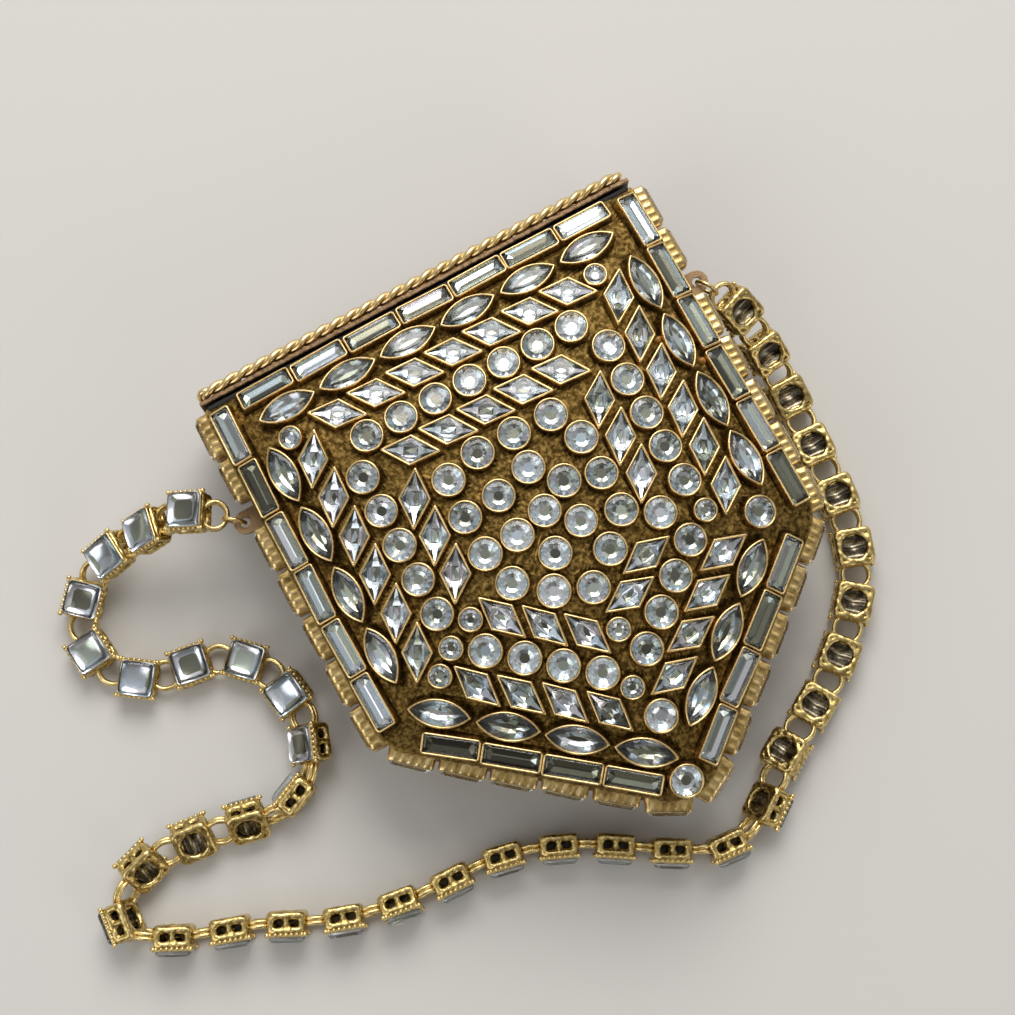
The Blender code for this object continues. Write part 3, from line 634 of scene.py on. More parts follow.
def front_stones():
    """Every stone of the front: rings that follow the outline, then the middle."""
    insets = ring_insets()
    stones = []
    for (kind, spacing, free_ends), margin in zip(FRONT_RINGS, insets):
        corners = case_corners(margin)
        level = Vector((0.0, SIZES[kind][1] / 2 if margin == insets[0] else 0.0))
        run = [corners[4] + level, corners[3], corners[2], corners[1], corners[0] + level]
        ends = [(corners[0], corners[4])] + list(zip(run, run[1:]))
        for (start, end), free in zip(ends, free_ends):
            along = (end - start).normalized()
            count = int(((end - start).length - 2 * free) / spacing) + 1
            turn = math.atan2(along.y, along.x)
            slant = RHOMBUS_SLANT if kind == "rhombus" else 0.0
            middle = (start + end) / 2
            for k in range(count):
                place = middle + along * spacing * (k - (count - 1) / 2)
                stones.append((kind, place, turn + slant))
    for margin in insets[len(FRONT_RINGS):]:
        loop = rounded(case_corners(margin), [CENTRE_CORNER] * 5)
        stones += [("round", place, 0.0) for place in around(loop, CENTRE_SPACING)]
    return stones + spare_places(stones)


def stone_rim(kind, place, turn):
    long, wide = FULLNESS.get(kind, AS_DRAWN)
    rim = [turned((x * long, y * wide), turn) for x, y in evenly(outline(kind), 40)]
    return [place + p for p in rim] + [place]


def spare_places(stones):
    """The places between the stones with room for one more round one."""
    taken = np.array([tuple(p) for stone in stones for p in stone_rim(*stone)])
    across = np.arange(-HALF_WIDTH, HALF_WIDTH, SPARE_STEP)
    grid = np.array([(x, y) for x in across for y in np.arange(TIP_Y, TOP_Y, SPARE_STEP)])
    edge = np.array([min(side_distances(x, y)) for x, y in grid]) - EDGE_MARGIN
    room = np.minimum(np.array([np.hypot(*(taken - p).T).min() for p in grid]), edge)
    places = []
    for kind in ("round", "small_round"):
        radius = SIZES[kind][0] / 2
        while room.max() > radius + SPARE_GAP:
            best = grid[int(room.argmax())]
            places.append((kind, Vector(best), 0.0))
            room = np.minimum(room, np.hypot(*(grid - best).T) - radius)
    return places


def around(loop, spacing):
    sides = list(zip(loop, loop[1:] + loop[:1]))
    total = sum((b - a).length for a, b in sides)
    count = int(total / spacing)
    places = []
    for k in range(count):
        left = total * (k + 0.5) / count
        for a, b in sides:
            if left <= (b - a).length:
                places.append(a + (b - a).normalized() * left)
                break
            left -= (b - a).length
    return places


def standing(middle, along, normal, turn):
    """The frame of a stone: its length turned about the normal of its place."""
    across = normal.cross(along).normalized()
    along = across.cross(normal)
    matrix = Matrix((along, across, normal)).transposed().to_4x4()
    return Matrix.Translation(middle) @ matrix @ Matrix.Rotation(turn, 4, "Z")


def dome_frame(place, turn):
    step = 1e-5
    middle = Vector((place.x, place.y, dome_height(place.x, place.y)))
    rise_x = (dome_height(place.x + step, place.y) - middle.z) / step
    rise_y = (dome_height(place.x, place.y + step) - middle.z) / step
    normal = Vector((-rise_x, -rise_y, 1.0)).normalized()
    return standing(middle, Vector((1, 0, rise_x)).normalized(), normal, turn)


def set_stones(name, body, places, stretch=1.0):
    """The bezels and the stones at these places, as two pieces."""
    bezels = Shape()
    stones = Shape()
    for kind, frame_at in places:
        long, wide = FULLNESS.get(kind, AS_DRAWN)
        place = hand_set(frame_at) @ Matrix.Diagonal((long, wide, stretch, 1.0))
        add_bezel(bezels, kind, place)
        seat_at = place @ Matrix.Translation((0, 0, GIRDLE_HEIGHT))
        shift = chance.uniform(-STONE_TONE, STONE_TONE)
        add_cut_stone(stones, kind, STONE_SEAT, seat_at, shift)
    bezels.make(name + "_bezels", [BEZEL_BRASS], body, sharp=50)
    stones.make(name + "_stones", [GLASS, FOIL], body)


def grain(x, y):
    """The lumps of the rough gold ground, from about -1 to 1."""
    p = Vector((x / GRAIN_SIZE, y / GRAIN_SIZE, 3.7))
    return noise.noise(p) + 0.5 * noise.noise(p * 2.3)


def under_stones(flat, stones):
    """How far each point of the ground lies inside (below 1) or outside the nearest
    bezel, as a share of the bezel's half length and width."""
    nearest = np.full(len(flat), 9.0)
    for kind, place, turn in stones:
        length, width = SIZES[kind]
        x = (flat[:, 0] - place.x) * math.cos(turn) + (flat[:, 1] - place.y) * math.sin(turn)
        y = (flat[:, 1] - place.y) * math.cos(turn) - (flat[:, 0] - place.x) * math.sin(turn)
        power = {"rhombus": 1.0, "baguette": 6.0}.get(kind, 2.0)
        measure = np.abs(x / length * 2) ** power + np.abs(y / width * 2) ** power
        nearest = np.minimum(nearest, measure ** (1 / power))
    return nearest


def ground_rings(layout, edge):
    """The ground's rings from its edge in, and the tone of each of their faces: rough
    gold that sinks under the stones, with a raised rim round each and painted shade darkening the faces
    at each bezel's foot."""
    rings = []
    tones = []
    for k in range(GROUND_RINGS):
        share = 1 - (k / GROUND_RINGS) ** 1.15 * 0.995
        flats = [GROUND_MIDDLE + (p - GROUND_MIDDLE) * (share - 0.002) for p in edge]
        near = under_stones(np.array([tuple(p) for p in flats]), layout)
        fade = min(1.0, (1 - share) * 40)
        ring = []
        # Painted shade: faces at and just outside each bezel's foot get a darker tone
        tones += [0.56 - 0.34 * math.exp(-(max(m - 1.0, 0.0) / 0.13) ** 2) for m in near]
        for flat, measure in zip(flats, near):
            sunk = min(max((measure - 0.72) / 0.2, 0.0), 1.0)
            pressed = math.exp(-((measure - 1.08) / 0.10) ** 2)
            lift = GRAIN_HEIGHT * (grain(flat.x, flat.y) + 0.9 * pressed) + GROUND_LIFT
            lift = lift * fade * sunk - SINK * (1 - sunk)
            ring.append(Vector((flat.x, flat.y, dome_height(flat.x, flat.y) + lift)))
        rings.append(ring)
    return rings, tones


def make_front():
    """The granular ground as one closed sheet, its stones and the mouth's lip."""
    layout = front_stones()
    edge = [Vector(p) for p in evenly(case_outline(steps=8), GROUND_TURNS)]
    low = CASE_DEPTH - SHEET
    rings, tones = ground_rings(layout, edge)
    rings = [at_height(edge, low), at_height(edge, CASE_DEPTH - 0.0004)] + rings
    tones = [0.5] * (2 * GROUND_TURNS) + tones
    points, faces = loft(rings, caps=(False, True))
    shape = Shape()
    shape.add(points, faces, tones=tones[:len(faces) - 1] + [0.5])
    inside = [at_height(edge[::4], low)]
    for share in (0.97, 0.9, 0.75, 0.5, 0.25, 0.02):
        flat = [GROUND_MIDDLE + (p - GROUND_MIDDLE) * share for p in edge[::4]]
        inside.append([Vector((p.x, p.y, dome_height(p.x, p.y) - SHEET)) for p in flat])
    points, faces = loft(inside, caps=(False, True))
    shape.add(points, [face[::-1] for face in faces])
    shape.make("front_ground", [GROUND], "case", 60, ["front_panel"])
    set_stones("front", "case", [(kind, dome_frame(place, turn)) for kind, place, turn in layout])
    edge_low = (-HALF_WIDTH + 0.0012, TOP_Y - 0.0008, CASE_DEPTH - 0.0012)
    edge_high = (HALF_WIDTH - 0.0012, TOP_Y + 0.0001, CASE_DEPTH + 0.0005)
    lip = Shape()
    lip.add(*rough_box(edge_low, edge_high, 0.0012, 0.00008))
    lip.make("front_lip", [BLACK_CLOTH], "case", 50)


# Drops of amber resin that have run between the stones: place in millimetres, size
DROPS = (
    (34.8, 33.4, 1.1),
    (46.4, 32.3, 0.9),
    (40.8, 29.2, 1.0),
    (47.3, 20.8, 1.0),
    (27.0, 8.2, 0.7),
)


def make_drops():
    shape = Shape()
    around_it = np.linspace(0, 2 * math.pi, 17)[:-1]
    for x, y, size in DROPS:
        place = dome_frame(Vector((x / 1000, y / 1000)), chance.uniform(0, 3))
        rings = []
        for k in range(7):
            turn = math.pi / 2 * k / 6
            radius = size / 1000 * math.cos(turn) + 0.00001
            height = size / 800 * math.sin(turn) + GROUND_LIFT - 0.0001
            loop = [turned((radius * (1 + 0.12 * math.sin(3 * t)), 0), t) for t in around_it]
            rings.append([place @ Vector((p.x, p.y * 0.8, height)) for p in loop])
        shape.add(*loft(rings, caps=(True, True)))
    shape.make("resin_drops", [AMBER], "case", 60)


def band_line(margin=0.0):
    """The open line round the sides and the point, from top left to top right."""
    corners = case_corners(margin)
    corners[0].y = TOP_Y
    corners[-1].y = TOP_Y
    line = corners[:1]
    for before, here, after in zip(corners, corners[1:], corners[2:]):
        line += arc(before, here, after, CORNER_RADIUS - margin, CORNER_STEPS)
    return line + corners[-1:]


def spread(start, end, spacing):
    count = int((end - start) / spacing)
    return [start + (end - start) * (k + 0.5) / count for k in range(count)]


def side_stone_places(total):
    spacing = SIZES["side_baguette"][0] + SIDE_STONE_GAP
    places = spread(0.0, LUG_FROM_TOP - LUG_SLOT / 2, spacing)
    places += spread(LUG_FROM_TOP + LUG_SLOT / 2, total / 2, spacing)
    return places + [total - s for s in reversed(places)]


def make_sides():
    """The wall round the sides and the point, and its row of stones."""
    line = band_line()
    flat = np.array([tuple(p) for p in line])
    run = run_along(flat)
    outside = evenly(line, WALL_TURNS, closed=False)
    inside = evenly(band_line(SHEET), WALL_TURNS, closed=False)
    rings = [at_height(inside, BAND_LOW)]
    steps = np.linspace(0, run[-1], WALL_TURNS)
    for z in np.linspace(BAND_LOW, BAND_HIGH, WALL_ROWS):
        ends = max(min(1.0, (z - BAND_LOW) / WORN_EDGE, (BAND_HIGH - z) / WORN_EDGE), 0.0)
        ring = []
        for s, (x, y), (u, v) in zip(steps, outside, inside):
            lump = GRAIN_HEIGHT * 0.8 * grain(s, z) * ends
            out = Vector((x - u, y - v)).normalized() * (lump - 0.0001)
            ring.append(Vector((x + out.x, y + out.y, z)))
        rings.append(ring)
    rings.append(at_height(inside, BAND_HIGH))
    rings.append(rings[0])
    points, faces = loft(rings, closed=False)
    starts = [WALL_TURNS * k for k in range(len(rings) - 1)]
    ends = [starts, [k + WALL_TURNS - 1 for k in starts][::-1]]
    shape = Shape()
    shape.add(points, faces + ends)
    shape.make("side_wall", [WALL_BRASS], "case", 60, ["side_band"])
    row = BAND_HIGH - SIZES["side_baguette"][1] / 2 - SIDE_ROW_GAP
    places = []
    for s in side_stone_places(run[-1]):
        at = point_at(run, flat, s)
        along = (point_at(run, flat, s + 0.003) - point_at(run, flat, s - 0.003)).normalized()
        normal = Vector((along.y, -along.x, 0.0))
        middle = Vector((at.x, at.y, row))
        along = Vector((along.x, along.y, 0.0))
        places.append(("side_baguette", standing(middle, along, normal, 0.0)))
    set_stones("side", "case", places, SIDE_STRETCH)


def tube(path, radius, sides=10, closed=False, up=None):
    """A round wire along a path, its frame carried along without twist."""
    count = len(path)
    rings = []
    across = None
    for i, here in enumerate(path):
        before = path[i - 1] if i or closed else here
        after = path[(i + 1) % count] if i < count - 1 or closed else here
        along = (after - before).normalized()
        if across is None:
            start = up or Vector((0.3, 0.2, 0.93))
            across = start.cross(along).normalized()
        across = (across - along * across.dot(along)).normalized()
        lift = along.cross(across)
        ring = []
        for k in range(sides):
            turn = 2 * math.pi * k / sides
            ring.append(here + across * radius * math.cos(turn) + lift * radius * math.sin(turn))
        rings.append(ring)
    if closed:
        rings.append(rings[0])
        return loft(rings)
    return loft(rings, caps=(True, True))


def make_rope():
    """Two wires twisted round each other along the lid's front edge and its ends."""
    side = HALF_WIDTH - ROPE_WIDTH / 2
    front = CASE_DEPTH - ROPE_WIDTH / 2
    height = LID_TOP_Y + CLEARANCE / 2 + ROPE_WIDTH / 2
    corners = [Vector((-side, ROPE_BACK_END)), Vector((-side, front))]
    corners += [Vector((side, front)), Vector((side, ROPE_BACK_END))]
    path = corners[:1]
    for a, b, c in zip(corners, corners[1:], corners[2:]):
        clockwise = arc(Vector((a.x, -a.y)), Vector((b.x, -b.y)), Vector((c.x, -c.y)), ROPE_CORNER, 6)
        path += [Vector((p.x, -p.y)) for p in clockwise]
    path += corners[-1:]
    line = evenly(path, 620, closed=False)
    run = run_along(line)
    shape = Shape()
    for phase in (0.0, math.pi):
        wire = []
        for i, (x, z) in enumerate(line):
            before = line[max(i - 1, 0)]
            after = line[min(i + 1, len(line) - 1)]
            along = Vector((after[0] - before[0], 0.0, after[1] - before[1])).normalized()
            out = Vector((0, 1, 0))
            across = along.cross(out)
            turn = phase + 2 * math.pi * run[i] / ROPE_PITCH
            reach = ROPE_WIDTH / 2 - ROPE_STRAND
            wire.append(Vector((x, height, z)) + (across * math.cos(turn) + out * math.sin(turn)) * reach)
        shape.add(*tube(wire, ROPE_STRAND, 9))
    shape.make("lid_rope", [BEZEL_BRASS], "lid", 60, ["lid_rope_trim"])


def rough_box(low, high, step, lump):
    """A box with fine faces, its surface lumpy and its edges rounded by wear."""
    made = bmesh.new()
    size = Vector(high) - Vector(low)
    middle = (Vector(high) + Vector(low)) / 2
    bmesh.ops.create_cube(made, size=1.0)
    bmesh.ops.scale(made, vec=size, verts=made.verts)
    bmesh.ops.translate(made, vec=middle, verts=made.verts)
    bmesh.ops.bevel(made, geom=made.edges[:], offset=min(size) * 0.16, segments=2, affect="EDGES")
    for axis in range(3):
        cuts = int(size[axis] / step)
        for k in range(1, cuts):
            at = Vector(low)
            at[axis] += size[axis] * k / cuts
            normal = Vector((0, 0, 0))
            normal[axis] = 1
            geometry = made.verts[:] + made.edges[:] + made.faces[:]
            bmesh.ops.bisect_plane(made, geom=geometry, plane_co=at, plane_no=normal)
    made.normal_update()
    moves = [(v, v.normal * lump * noise.noise(v.co / 0.0013)) for v in made.verts]
    for vert, move in moves:
        vert.co += move
    made.verts.index_update()
    points = [v.co.copy() for v in made.verts]
    faces = [[v.index for v in f.verts] for f in made.faces]
    made.free()
    return points, faces


def barrel(x):
    """A hinge barrel along X with rounded ends, bored through."""
    half = BARREL_LENGTH / 2
    inside, outside, soft = BORE_RADIUS, BARREL_RADIUS, 0.00025
    profile = (
        (-half, inside), (-half, outside - soft), (-half + soft, outside),
        (half - soft, outside), (half, outside - soft), (half, inside), (-half, inside),
    )
    rings = []
    for along, radius in profile:
        flat = [turned((radius, 0), -2 * math.pi * k / 24) for k in range(24)]
        rings.append([Vector((x + along, AXIS_Y + p.x, AXIS_HEIGHT + p.y)) for p in flat])
    return loft(rings)


def barrel_places():
    pitch = BARREL_LENGTH + CLEARANCE
    return [pitch * (k - (BARREL_COUNT - 1) / 2) for k in range(BARREL_COUNT)]


def make_lid():
    shape = Shape()
    low = (-HALF_WIDTH, LID_LOW_Y, LID_BACK_Z)
    high = (HALF_WIDTH, LID_TOP_Y, CASE_DEPTH)
    shape.add(*rough_box(low, high, 0.0009, 0.00012))
    for x in barrel_places()[1::2]:
        shape.add(*barrel(x), slot=1)
        half = BARREL_LENGTH / 2
        neck_low = (x - half, LID_LOW_Y + LID_SHEET / 4, AXIS_HEIGHT + BARREL_RADIUS * 0.85)
        neck_high = (x + half, LID_TOP_Y - LID_SHEET / 4, LID_BACK_Z + LID_SHEET)
        shape.add(*rough_box(neck_low, neck_high, 0.002, 0.0), slot=1)
    shape.make("lid_sheet", [DARK_STRIP, BEZEL_BRASS], "lid", 40, ["lid_plate"])
    row_inset = ROPE_WIDTH + CLEARANCE + SIZES["round"][0] / 2
    spacing = (WIDTH - 2 * row_inset) / (LID_ROUNDS - 1)
    places = []
    for k in range(LID_ROUNDS):
        middle = Vector((row_inset - HALF_WIDTH + spacing * k, LID_TOP_Y, CASE_DEPTH - row_inset))
        places.append(("round", standing(middle, Vector((1, 0, 0)), Vector((0, 1, 0)), 0.0)))
    set_stones("lid", "lid", places)
    ground = Shape()
    low = (-HALF_WIDTH + ROPE_WIDTH, LID_TOP_Y - 0.0002, LID_BACK_Z + 0.0008)
    high = (HALF_WIDTH - ROPE_WIDTH, LID_TOP_Y + 0.0003, CASE_DEPTH - ROPE_WIDTH)
    ground.add(*rough_box(low, high, 0.0009, 0.00022))
    ground.make("lid_ground", [WALL_BRASS], "lid", 60)
    make_rope()


def make_hinge():
    """The case's leaf and barrels, round where the solid ones have flats."""
    places = barrel_places()
    wide = places[-1] + BARREL_LENGTH
    shape = Shape()
    low = (-wide, TOP_Y - LEAF_REACH, BAND_LOW)
    high = (wide, TOP_Y - CLEARANCE, BAND_LOW + HINGE_LEAF)
    shape.add(*rough_box(low, high, 0.004, 0.0))
    for x in places[::2]:
        shape.add(*barrel(x))
        half = BARREL_LENGTH / 2
        neck_low = (x - half, TOP_Y - LEAF_REACH / 2, BAND_LOW)
        neck_high = (x + half, AXIS_Y - BARREL_RADIUS * 0.85, BAND_LOW + HINGE_LEAF)
        shape.add(*rough_box(neck_low, neck_high, 0.004, 0.0))
    shape.make("hinge_knuckles", [BEZEL_BRASS], "case", 40, ["hinge_leaf"])


def strap_route():
    starts = (
        (lug_middle(-1), ROUTE_FROM_LEFT_LUG),
        (Vector((0.0, TIP_Y)), ROUTE_FROM_POINT),
        (lug_middle(1), ROUTE_FROM_RIGHT_LUG),
    )
    return [
        Vector((start.x + x / 1000, start.y + y / 1000, share * LUG_HEIGHT, roll))
        for start, points in starts
        for x, y, share, roll in points
    ]


def strap_curve():
    route = strap_route()
    closed = [2 * route[0] - route[1]] + route + [2 * route[-1] - route[-2]]
    points = []
    for p0, p1, p2, p3 in zip(closed, closed[1:], closed[2:], closed[3:]):
        for k in range(ROUTE_SAMPLES):
            t = k / ROUTE_SAMPLES
            a = 2 * p1 + (p2 - p0) * t
            b = (2 * p0 - 5 * p1 + 4 * p2 - p3) * t * t
            c = (3 * p1 - p0 - 3 * p2 + p3) * t ** 3
            points.append((a + b + c) / 2)
    return points + [route[-1]]


def link_frames():
    """Each link's matrix: X along the strap, Z through its stone."""
    points = strap_curve()
    places = np.array([p[:3] for p in points])
    rolls = np.array([p[3] for p in points])
    run = run_along(places)
    spacing = run[-1] / (LINK_COUNT + 1)
    frames = []
    for k in range(1, LINK_COUNT + 1):
        s = spacing * k
        at = (s - spacing / 2, s, s + spacing / 2)
        before, here, after = (point_at(run, places, x) for x in at)
        along = (after - before).normalized()
        across = UP.cross(along).normalized()
        up = along.cross(across)
        turn = Matrix((along, across, up)).transposed().to_4x4()
        turn = turn @ Matrix.Rotation(math.radians(np.interp(s, run, rolls)), 4, "X")
        lift = FLOOR_GAP - min((turn @ Vector(p)).z for p in link_corners())
        place = Vector((here.x, here.y, max(here.z, 0.0) + lift))
        frames.append(Matrix.Translation(place) @ turn)
    return frames


def link_corners():
    half = LINK_SIZE / 2
    stone = LINK_STONE / 2 - LINK_STONE_RISE
    low = -LINK_HEIGHT / 2
    top = LINK_HEIGHT / 2
    reach = ((half, low), (half, top), (stone, top + LINK_STONE_RISE))
    return [(x * wide, y * wide, z) for wide, z in reach for x in (-1, 1) for y in (-1, 1)]


def ball(middle, radius):
    rings = []
    for k in range(6):
        tilt = math.pi * k / 5
        ring = circle(radius * math.sin(tilt) + 1e-6, 8)
        rings.append([middle + Vector((p.x, p.y, -radius * math.cos(tilt))) for p in ring])
    return loft(rings, caps=(True, True))


def square_loop(half, z, radius):
    return at_height(evenly(rounded(oblong(half, half), [radius] * 4), 64), z)


def cast_frame():
    """The cast metal of a setting: rails, posts and arches grown into each other."""
    shape = Shape()
    reach = LINK_SIZE / 2 - LINK_RAIL
    for z in (-LINK_HEIGHT / 2 + LINK_RAIL, LINK_HEIGHT / 2 - LINK_RAIL * 1.1):
        shape.add(*tube(square_loop(reach, z, 0.0008), LINK_RAIL, closed=True, up=UP))
    for x in (-1, 1):
        for y in (-1, 1):
            corner = Vector((x * (reach - 0.0001), y * (reach - 0.0001), 0))
            ends = [corner + Vector((0, 0, z)) for z in LINK_POSTS]
            shape.add(*tube(ends, CORNER_POST))
    opening = at_height(circle(BACK_OPENING, 32), -LINK_HEIGHT / 2 + 0.0007)
    shape.add(*tube(opening, BACK_WIRE, closed=True, up=UP))
    for side in range(4):
        turn = Matrix.Rotation(side * math.pi / 2, 4, "Z")
        post = [turn @ Vector((reach + 0.0001, 0, z)) for z in LINK_POSTS]
        shape.add(*tube(post, MIDDLE_POST))
        for away in (-1, 1):
            bow = []
            for k in range(9):
                angle = math.pi * k / 8
                y = away * (ARCH_MIDDLE + ARCH_RADIUS * math.cos(angle))
                bow.append(turn @ Vector((reach, y, 0.0002 + ARCH_RADIUS * math.sin(angle))))
            shape.add(*tube(bow, ARCH_WIRE, 8))
    rough = linked("cast_rough", shape.mesh("cast_rough", []))
    grow = rough.modifiers.new("grow", "REMESH")
    grow.mode = "VOXEL"
    grow.voxel_size = CAST_GRAIN
    soft = rough.modifiers.new("soft", "SMOOTH")
    soft.iterations = 2
    bpy.context.view_layer.update()
    whole = rough.evaluated_get(bpy.context.evaluated_depsgraph_get()).to_mesh()
    points = [v.co.copy() for v in whole.vertices]
    normals = [v.normal.copy() for v in whole.vertices]
    faces = [list(p.vertices) for p in whole.polygons]
    bpy.data.objects.remove(rough, do_unlink=True)
    moved = []
    for p, normal in zip(points, normals):
        moved.append(p + normal * 0.00016 * noise.noise(p / 0.0011 + Vector((9, 2, 4))))
    return moved, faces


def make_link_mesh():
    """A setting with its beads, stone and the dark ribbed foil in its open back."""
    shape = Shape()
    shape.add(*cast_frame())
    top = LINK_HEIGHT / 2
    edge = LINK_SIZE / 2 - 0.0003
    for side in (-1, 1):
        for k in range(BEADS):
            x = (k - (BEADS - 1) / 2) * BEAD_SPACING
            shape.add(*ball(Vector((x, side * edge, top - 0.00015)), BEAD_RADIUS))
    for x in (-1, 1):
        for y in (-1, 1):
            shape.add(*ball(Vector((x * edge, y * edge, top - 0.0001)), CORNER_BEAD_RADIUS))
    lip = [square_loop(LINK_STONE / 2 + d, top + z, 0.0004) for d, z in LINK_LIP]
    shape.add(*loft(lip))
    stone = Shape()
    add_cut_stone(stone, "square", 0.0, Matrix.Translation((0, 0, top + LINK_STONE_LIFT)))
    shape.add(stone.points, stone.faces, [slot + 1 for slot in stone.slots], stone.tones)
    shape.add(*ribbed_back(), slot=3)
    return shape.mesh("link", [STRAP_BRASS, GLASS, FOIL, DARK_FOIL], 42)


def ribbed_back():
    """The dark backing seen in a setting's open back, pressed into ribs."""
    half = LINK_SIZE / 2 - 0.0009
    rows = []
    for i in range(25):
        x = -half + 2 * half * i / 24
        row = []
        for k in range(9):
            y = -half + 2 * half * k / 8
            z = -0.0003 + 0.00028 * math.sin(x / 0.00042) + 0.0012 * (1 - max(abs(x), abs(y)) / half)
            row.append(Vector((x, y, z - 0.0010)))
        rows.append(row)
    points, faces = loft(rows, closed=False)
    return points, [face[::-1] for face in faces]


def lug_middle(side):
    return Vector((side * (HALF_WIDTH + LUG_REACH - LUG_WIDTH / 2), TOP_Y - LUG_FROM_TOP, LUG_HEIGHT))


def outwards(side, at):
    away = at.translation - lug_middle(side)
    return Vector((away.x, away.y, 0.0)).normalized()


def lug_end(side, at):
    return lug_middle(side) + outwards(side, at) * (2 * LUG_RING_RADIUS - RING_WIRE)


def ring_path(start, end, across):
    """A round jump ring through two places, a little oval where they lie close."""
    along = (end - start) / 2
    wide = across - along * across.dot(along) / along.length_squared
    wide = wide.normalized() * RING_HALF
    return [(start + end) / 2 + along * p.x + wide * p.y for p in circle(1.0, RING_STEPS)]


def make_ring(name, start, end, across, replaced=()):
    """Two jump rings side by side."""
    shape = Shape()
    up = (end - start).cross(across).normalized()
    path = ring_path(start, end, across)
    for shift in (-JUMP_SHIFT, JUMP_SHIFT):
        shape.add(*tube([p + up * shift for p in path], JUMP_WIRE, closed=True, up=up))
    shape.make(name, [STRAP_BRASS], "case", 60, replaced)


def make_strap():
    frames = link_frames()
    meshes = [make_link_mesh() for _ in range(LINK_KINDS)]
    hook = Vector((LINK_SIZE / 2 - LINK_WALL * 1.5, 0, RING_HEIGHT))
    for k, at in enumerate(frames):
        node = f"strap_link_{k + 1:02d}"
        put(f"setting_{k + 1:02d}", meshes[k % LINK_KINDS], "case", [node], at)
        across = at.col[1].to_3d()
        end = lug_end(1, at)
        if k + 1 < len(frames):
            end = frames[k + 1] @ Vector((-hook.x, 0, hook.z))
            across = across + frames[k + 1].col[1].to_3d()
        make_ring(f"jump_ring_{k + 1:02d}", at @ hook, end, across)
    for side, at, name in ((-1, frames[0], "lug_ring_left"), (1, frames[-1], "lug_ring_right")):
        away = outwards(side, at)
        middle = lug_middle(side) + away * LUG_RING_RADIUS
        path = [middle + away * p.x + UP * p.y for p in circle(LUG_RING_RADIUS, RING_STEPS)]
        across = Vector((-away.y, away.x, 0.0))
        shape = Shape()
        shape.add(*tube(path, RING_WIRE / 2, closed=True, up=across))
        shape.make("round_" + name, [STRAP_BRASS], "case", 60, [name])
    near = frames[0] @ Vector((-hook.x, 0, hook.z))
    make_ring("end_ring", lug_end(-1, frames[0]), near, frames[0].col[1].to_3d(), ["strap_end_ring"])


def new_material(name):
    made = bpy.data.materials.new(name)
    made.use_nodes = True
    return made, made.node_tree, made.node_tree.nodes["Principled BSDF"]


def noise_node(tree, scale, detail=4.0, rough=0.6):
    place = tree.nodes.new("ShaderNodeTexCoord")
    made = tree.nodes.new("ShaderNodeTexNoise")
    made.inputs["Scale"].default_value = scale
    made.inputs["Detail"].default_value = detail
    made.inputs["Roughness"].default_value = rough
    tree.links.new(place.outputs["Object"], made.inputs["Vector"])
    return made.outputs["Fac"]


def ramp_node(tree, factor, stops):
    made = tree.nodes.new("ShaderNodeValToRGB")
    while len(made.color_ramp.elements) < len(stops):
        made.color_ramp.elements.new(0.5)
    for element, (place, colour) in zip(made.color_ramp.elements, stops):
        element.position = place
        element.color = (*colour, 1.0)
    tree.links.new(factor, made.inputs["Fac"])
    return made.outputs["Color"]


def math_node(tree, operation, *values):
    made = tree.nodes.new("ShaderNodeMath")
    made.operation = operation
    for socket, value in zip(made.inputs, values):
        if isinstance(value, (int, float)):
            socket.default_value = value
        else:
            tree.links.new(value, socket)
    return made.outputs[0]


def bump_node(tree, shader, height, distance, strength):
    made = tree.nodes.new("ShaderNodeBump")
    made.inputs["Distance"].default_value = distance
    made.inputs["Strength"].default_value = strength
    tree.links.new(height, made.inputs["Height"])
    tree.links.new(made.outputs["Normal"], shader.inputs["Normal"])


def metal(
    name, dark, middle, bright, roughness, blotch, fine, depth,
    edge=6.0, metallic=1.0, shaded=False,
):
    """Old brass: painted shade in the hollows, a painted highlight on the edges, mottled in between."""
    made, tree, shader = new_material(name)
    shader.inputs["Metallic"].default_value = metallic
    geometry = tree.nodes.new("ShaderNodeNewGeometry")
    # Painted shade and highlight: pointiness darkens the colour in hollows and lightens it on edges
    bend = math_node(tree, "SUBTRACT", geometry.outputs["Pointiness"], 0.5)
    hollow_shade_and_edge_highlight = math_node(tree, "MULTIPLY", bend, edge)
    mottle = noise_node(tree, blotch)
    level = math_node(tree, "ADD", mottle, hollow_shade_and_edge_highlight)
    # Painted shade from the faces' tone, darker round the foot of each bezel
    if shaded:
        tone = tree.nodes.new("ShaderNodeAttribute")
        tone.attribute_name = "tone"
        shade = math_node(tree, "SUBTRACT", tone.outputs["Fac"], 0.5)
        level = math_node(tree, "ADD", level, shade)
    stops = ((0.25, dark), (0.5, middle), (0.78, bright))
    tree.links.new(ramp_node(tree, level, stops), shader.inputs["Base Color"])
    small = noise_node(tree, fine, 5.0, 0.7)
    tint = ramp_node(tree, small, ((0.3, (roughness * 0.75,) * 3), (0.7, (roughness * 1.35,) * 3)))
    tree.links.new(tint, shader.inputs["Roughness"])
    bump_node(tree, shader, small, depth, 0.6)
    return made


def make_glass():
    made, tree, shader = new_material("stone_glass")
    shader.inputs["Base Color"].default_value = (1.0, 1.0, 1.0, 1.0)
    shader.inputs["Roughness"].default_value = 0.02
    shader.inputs["IOR"].default_value = 1.52
    shader.inputs["Transmission Weight"].default_value = 1.0
    return made


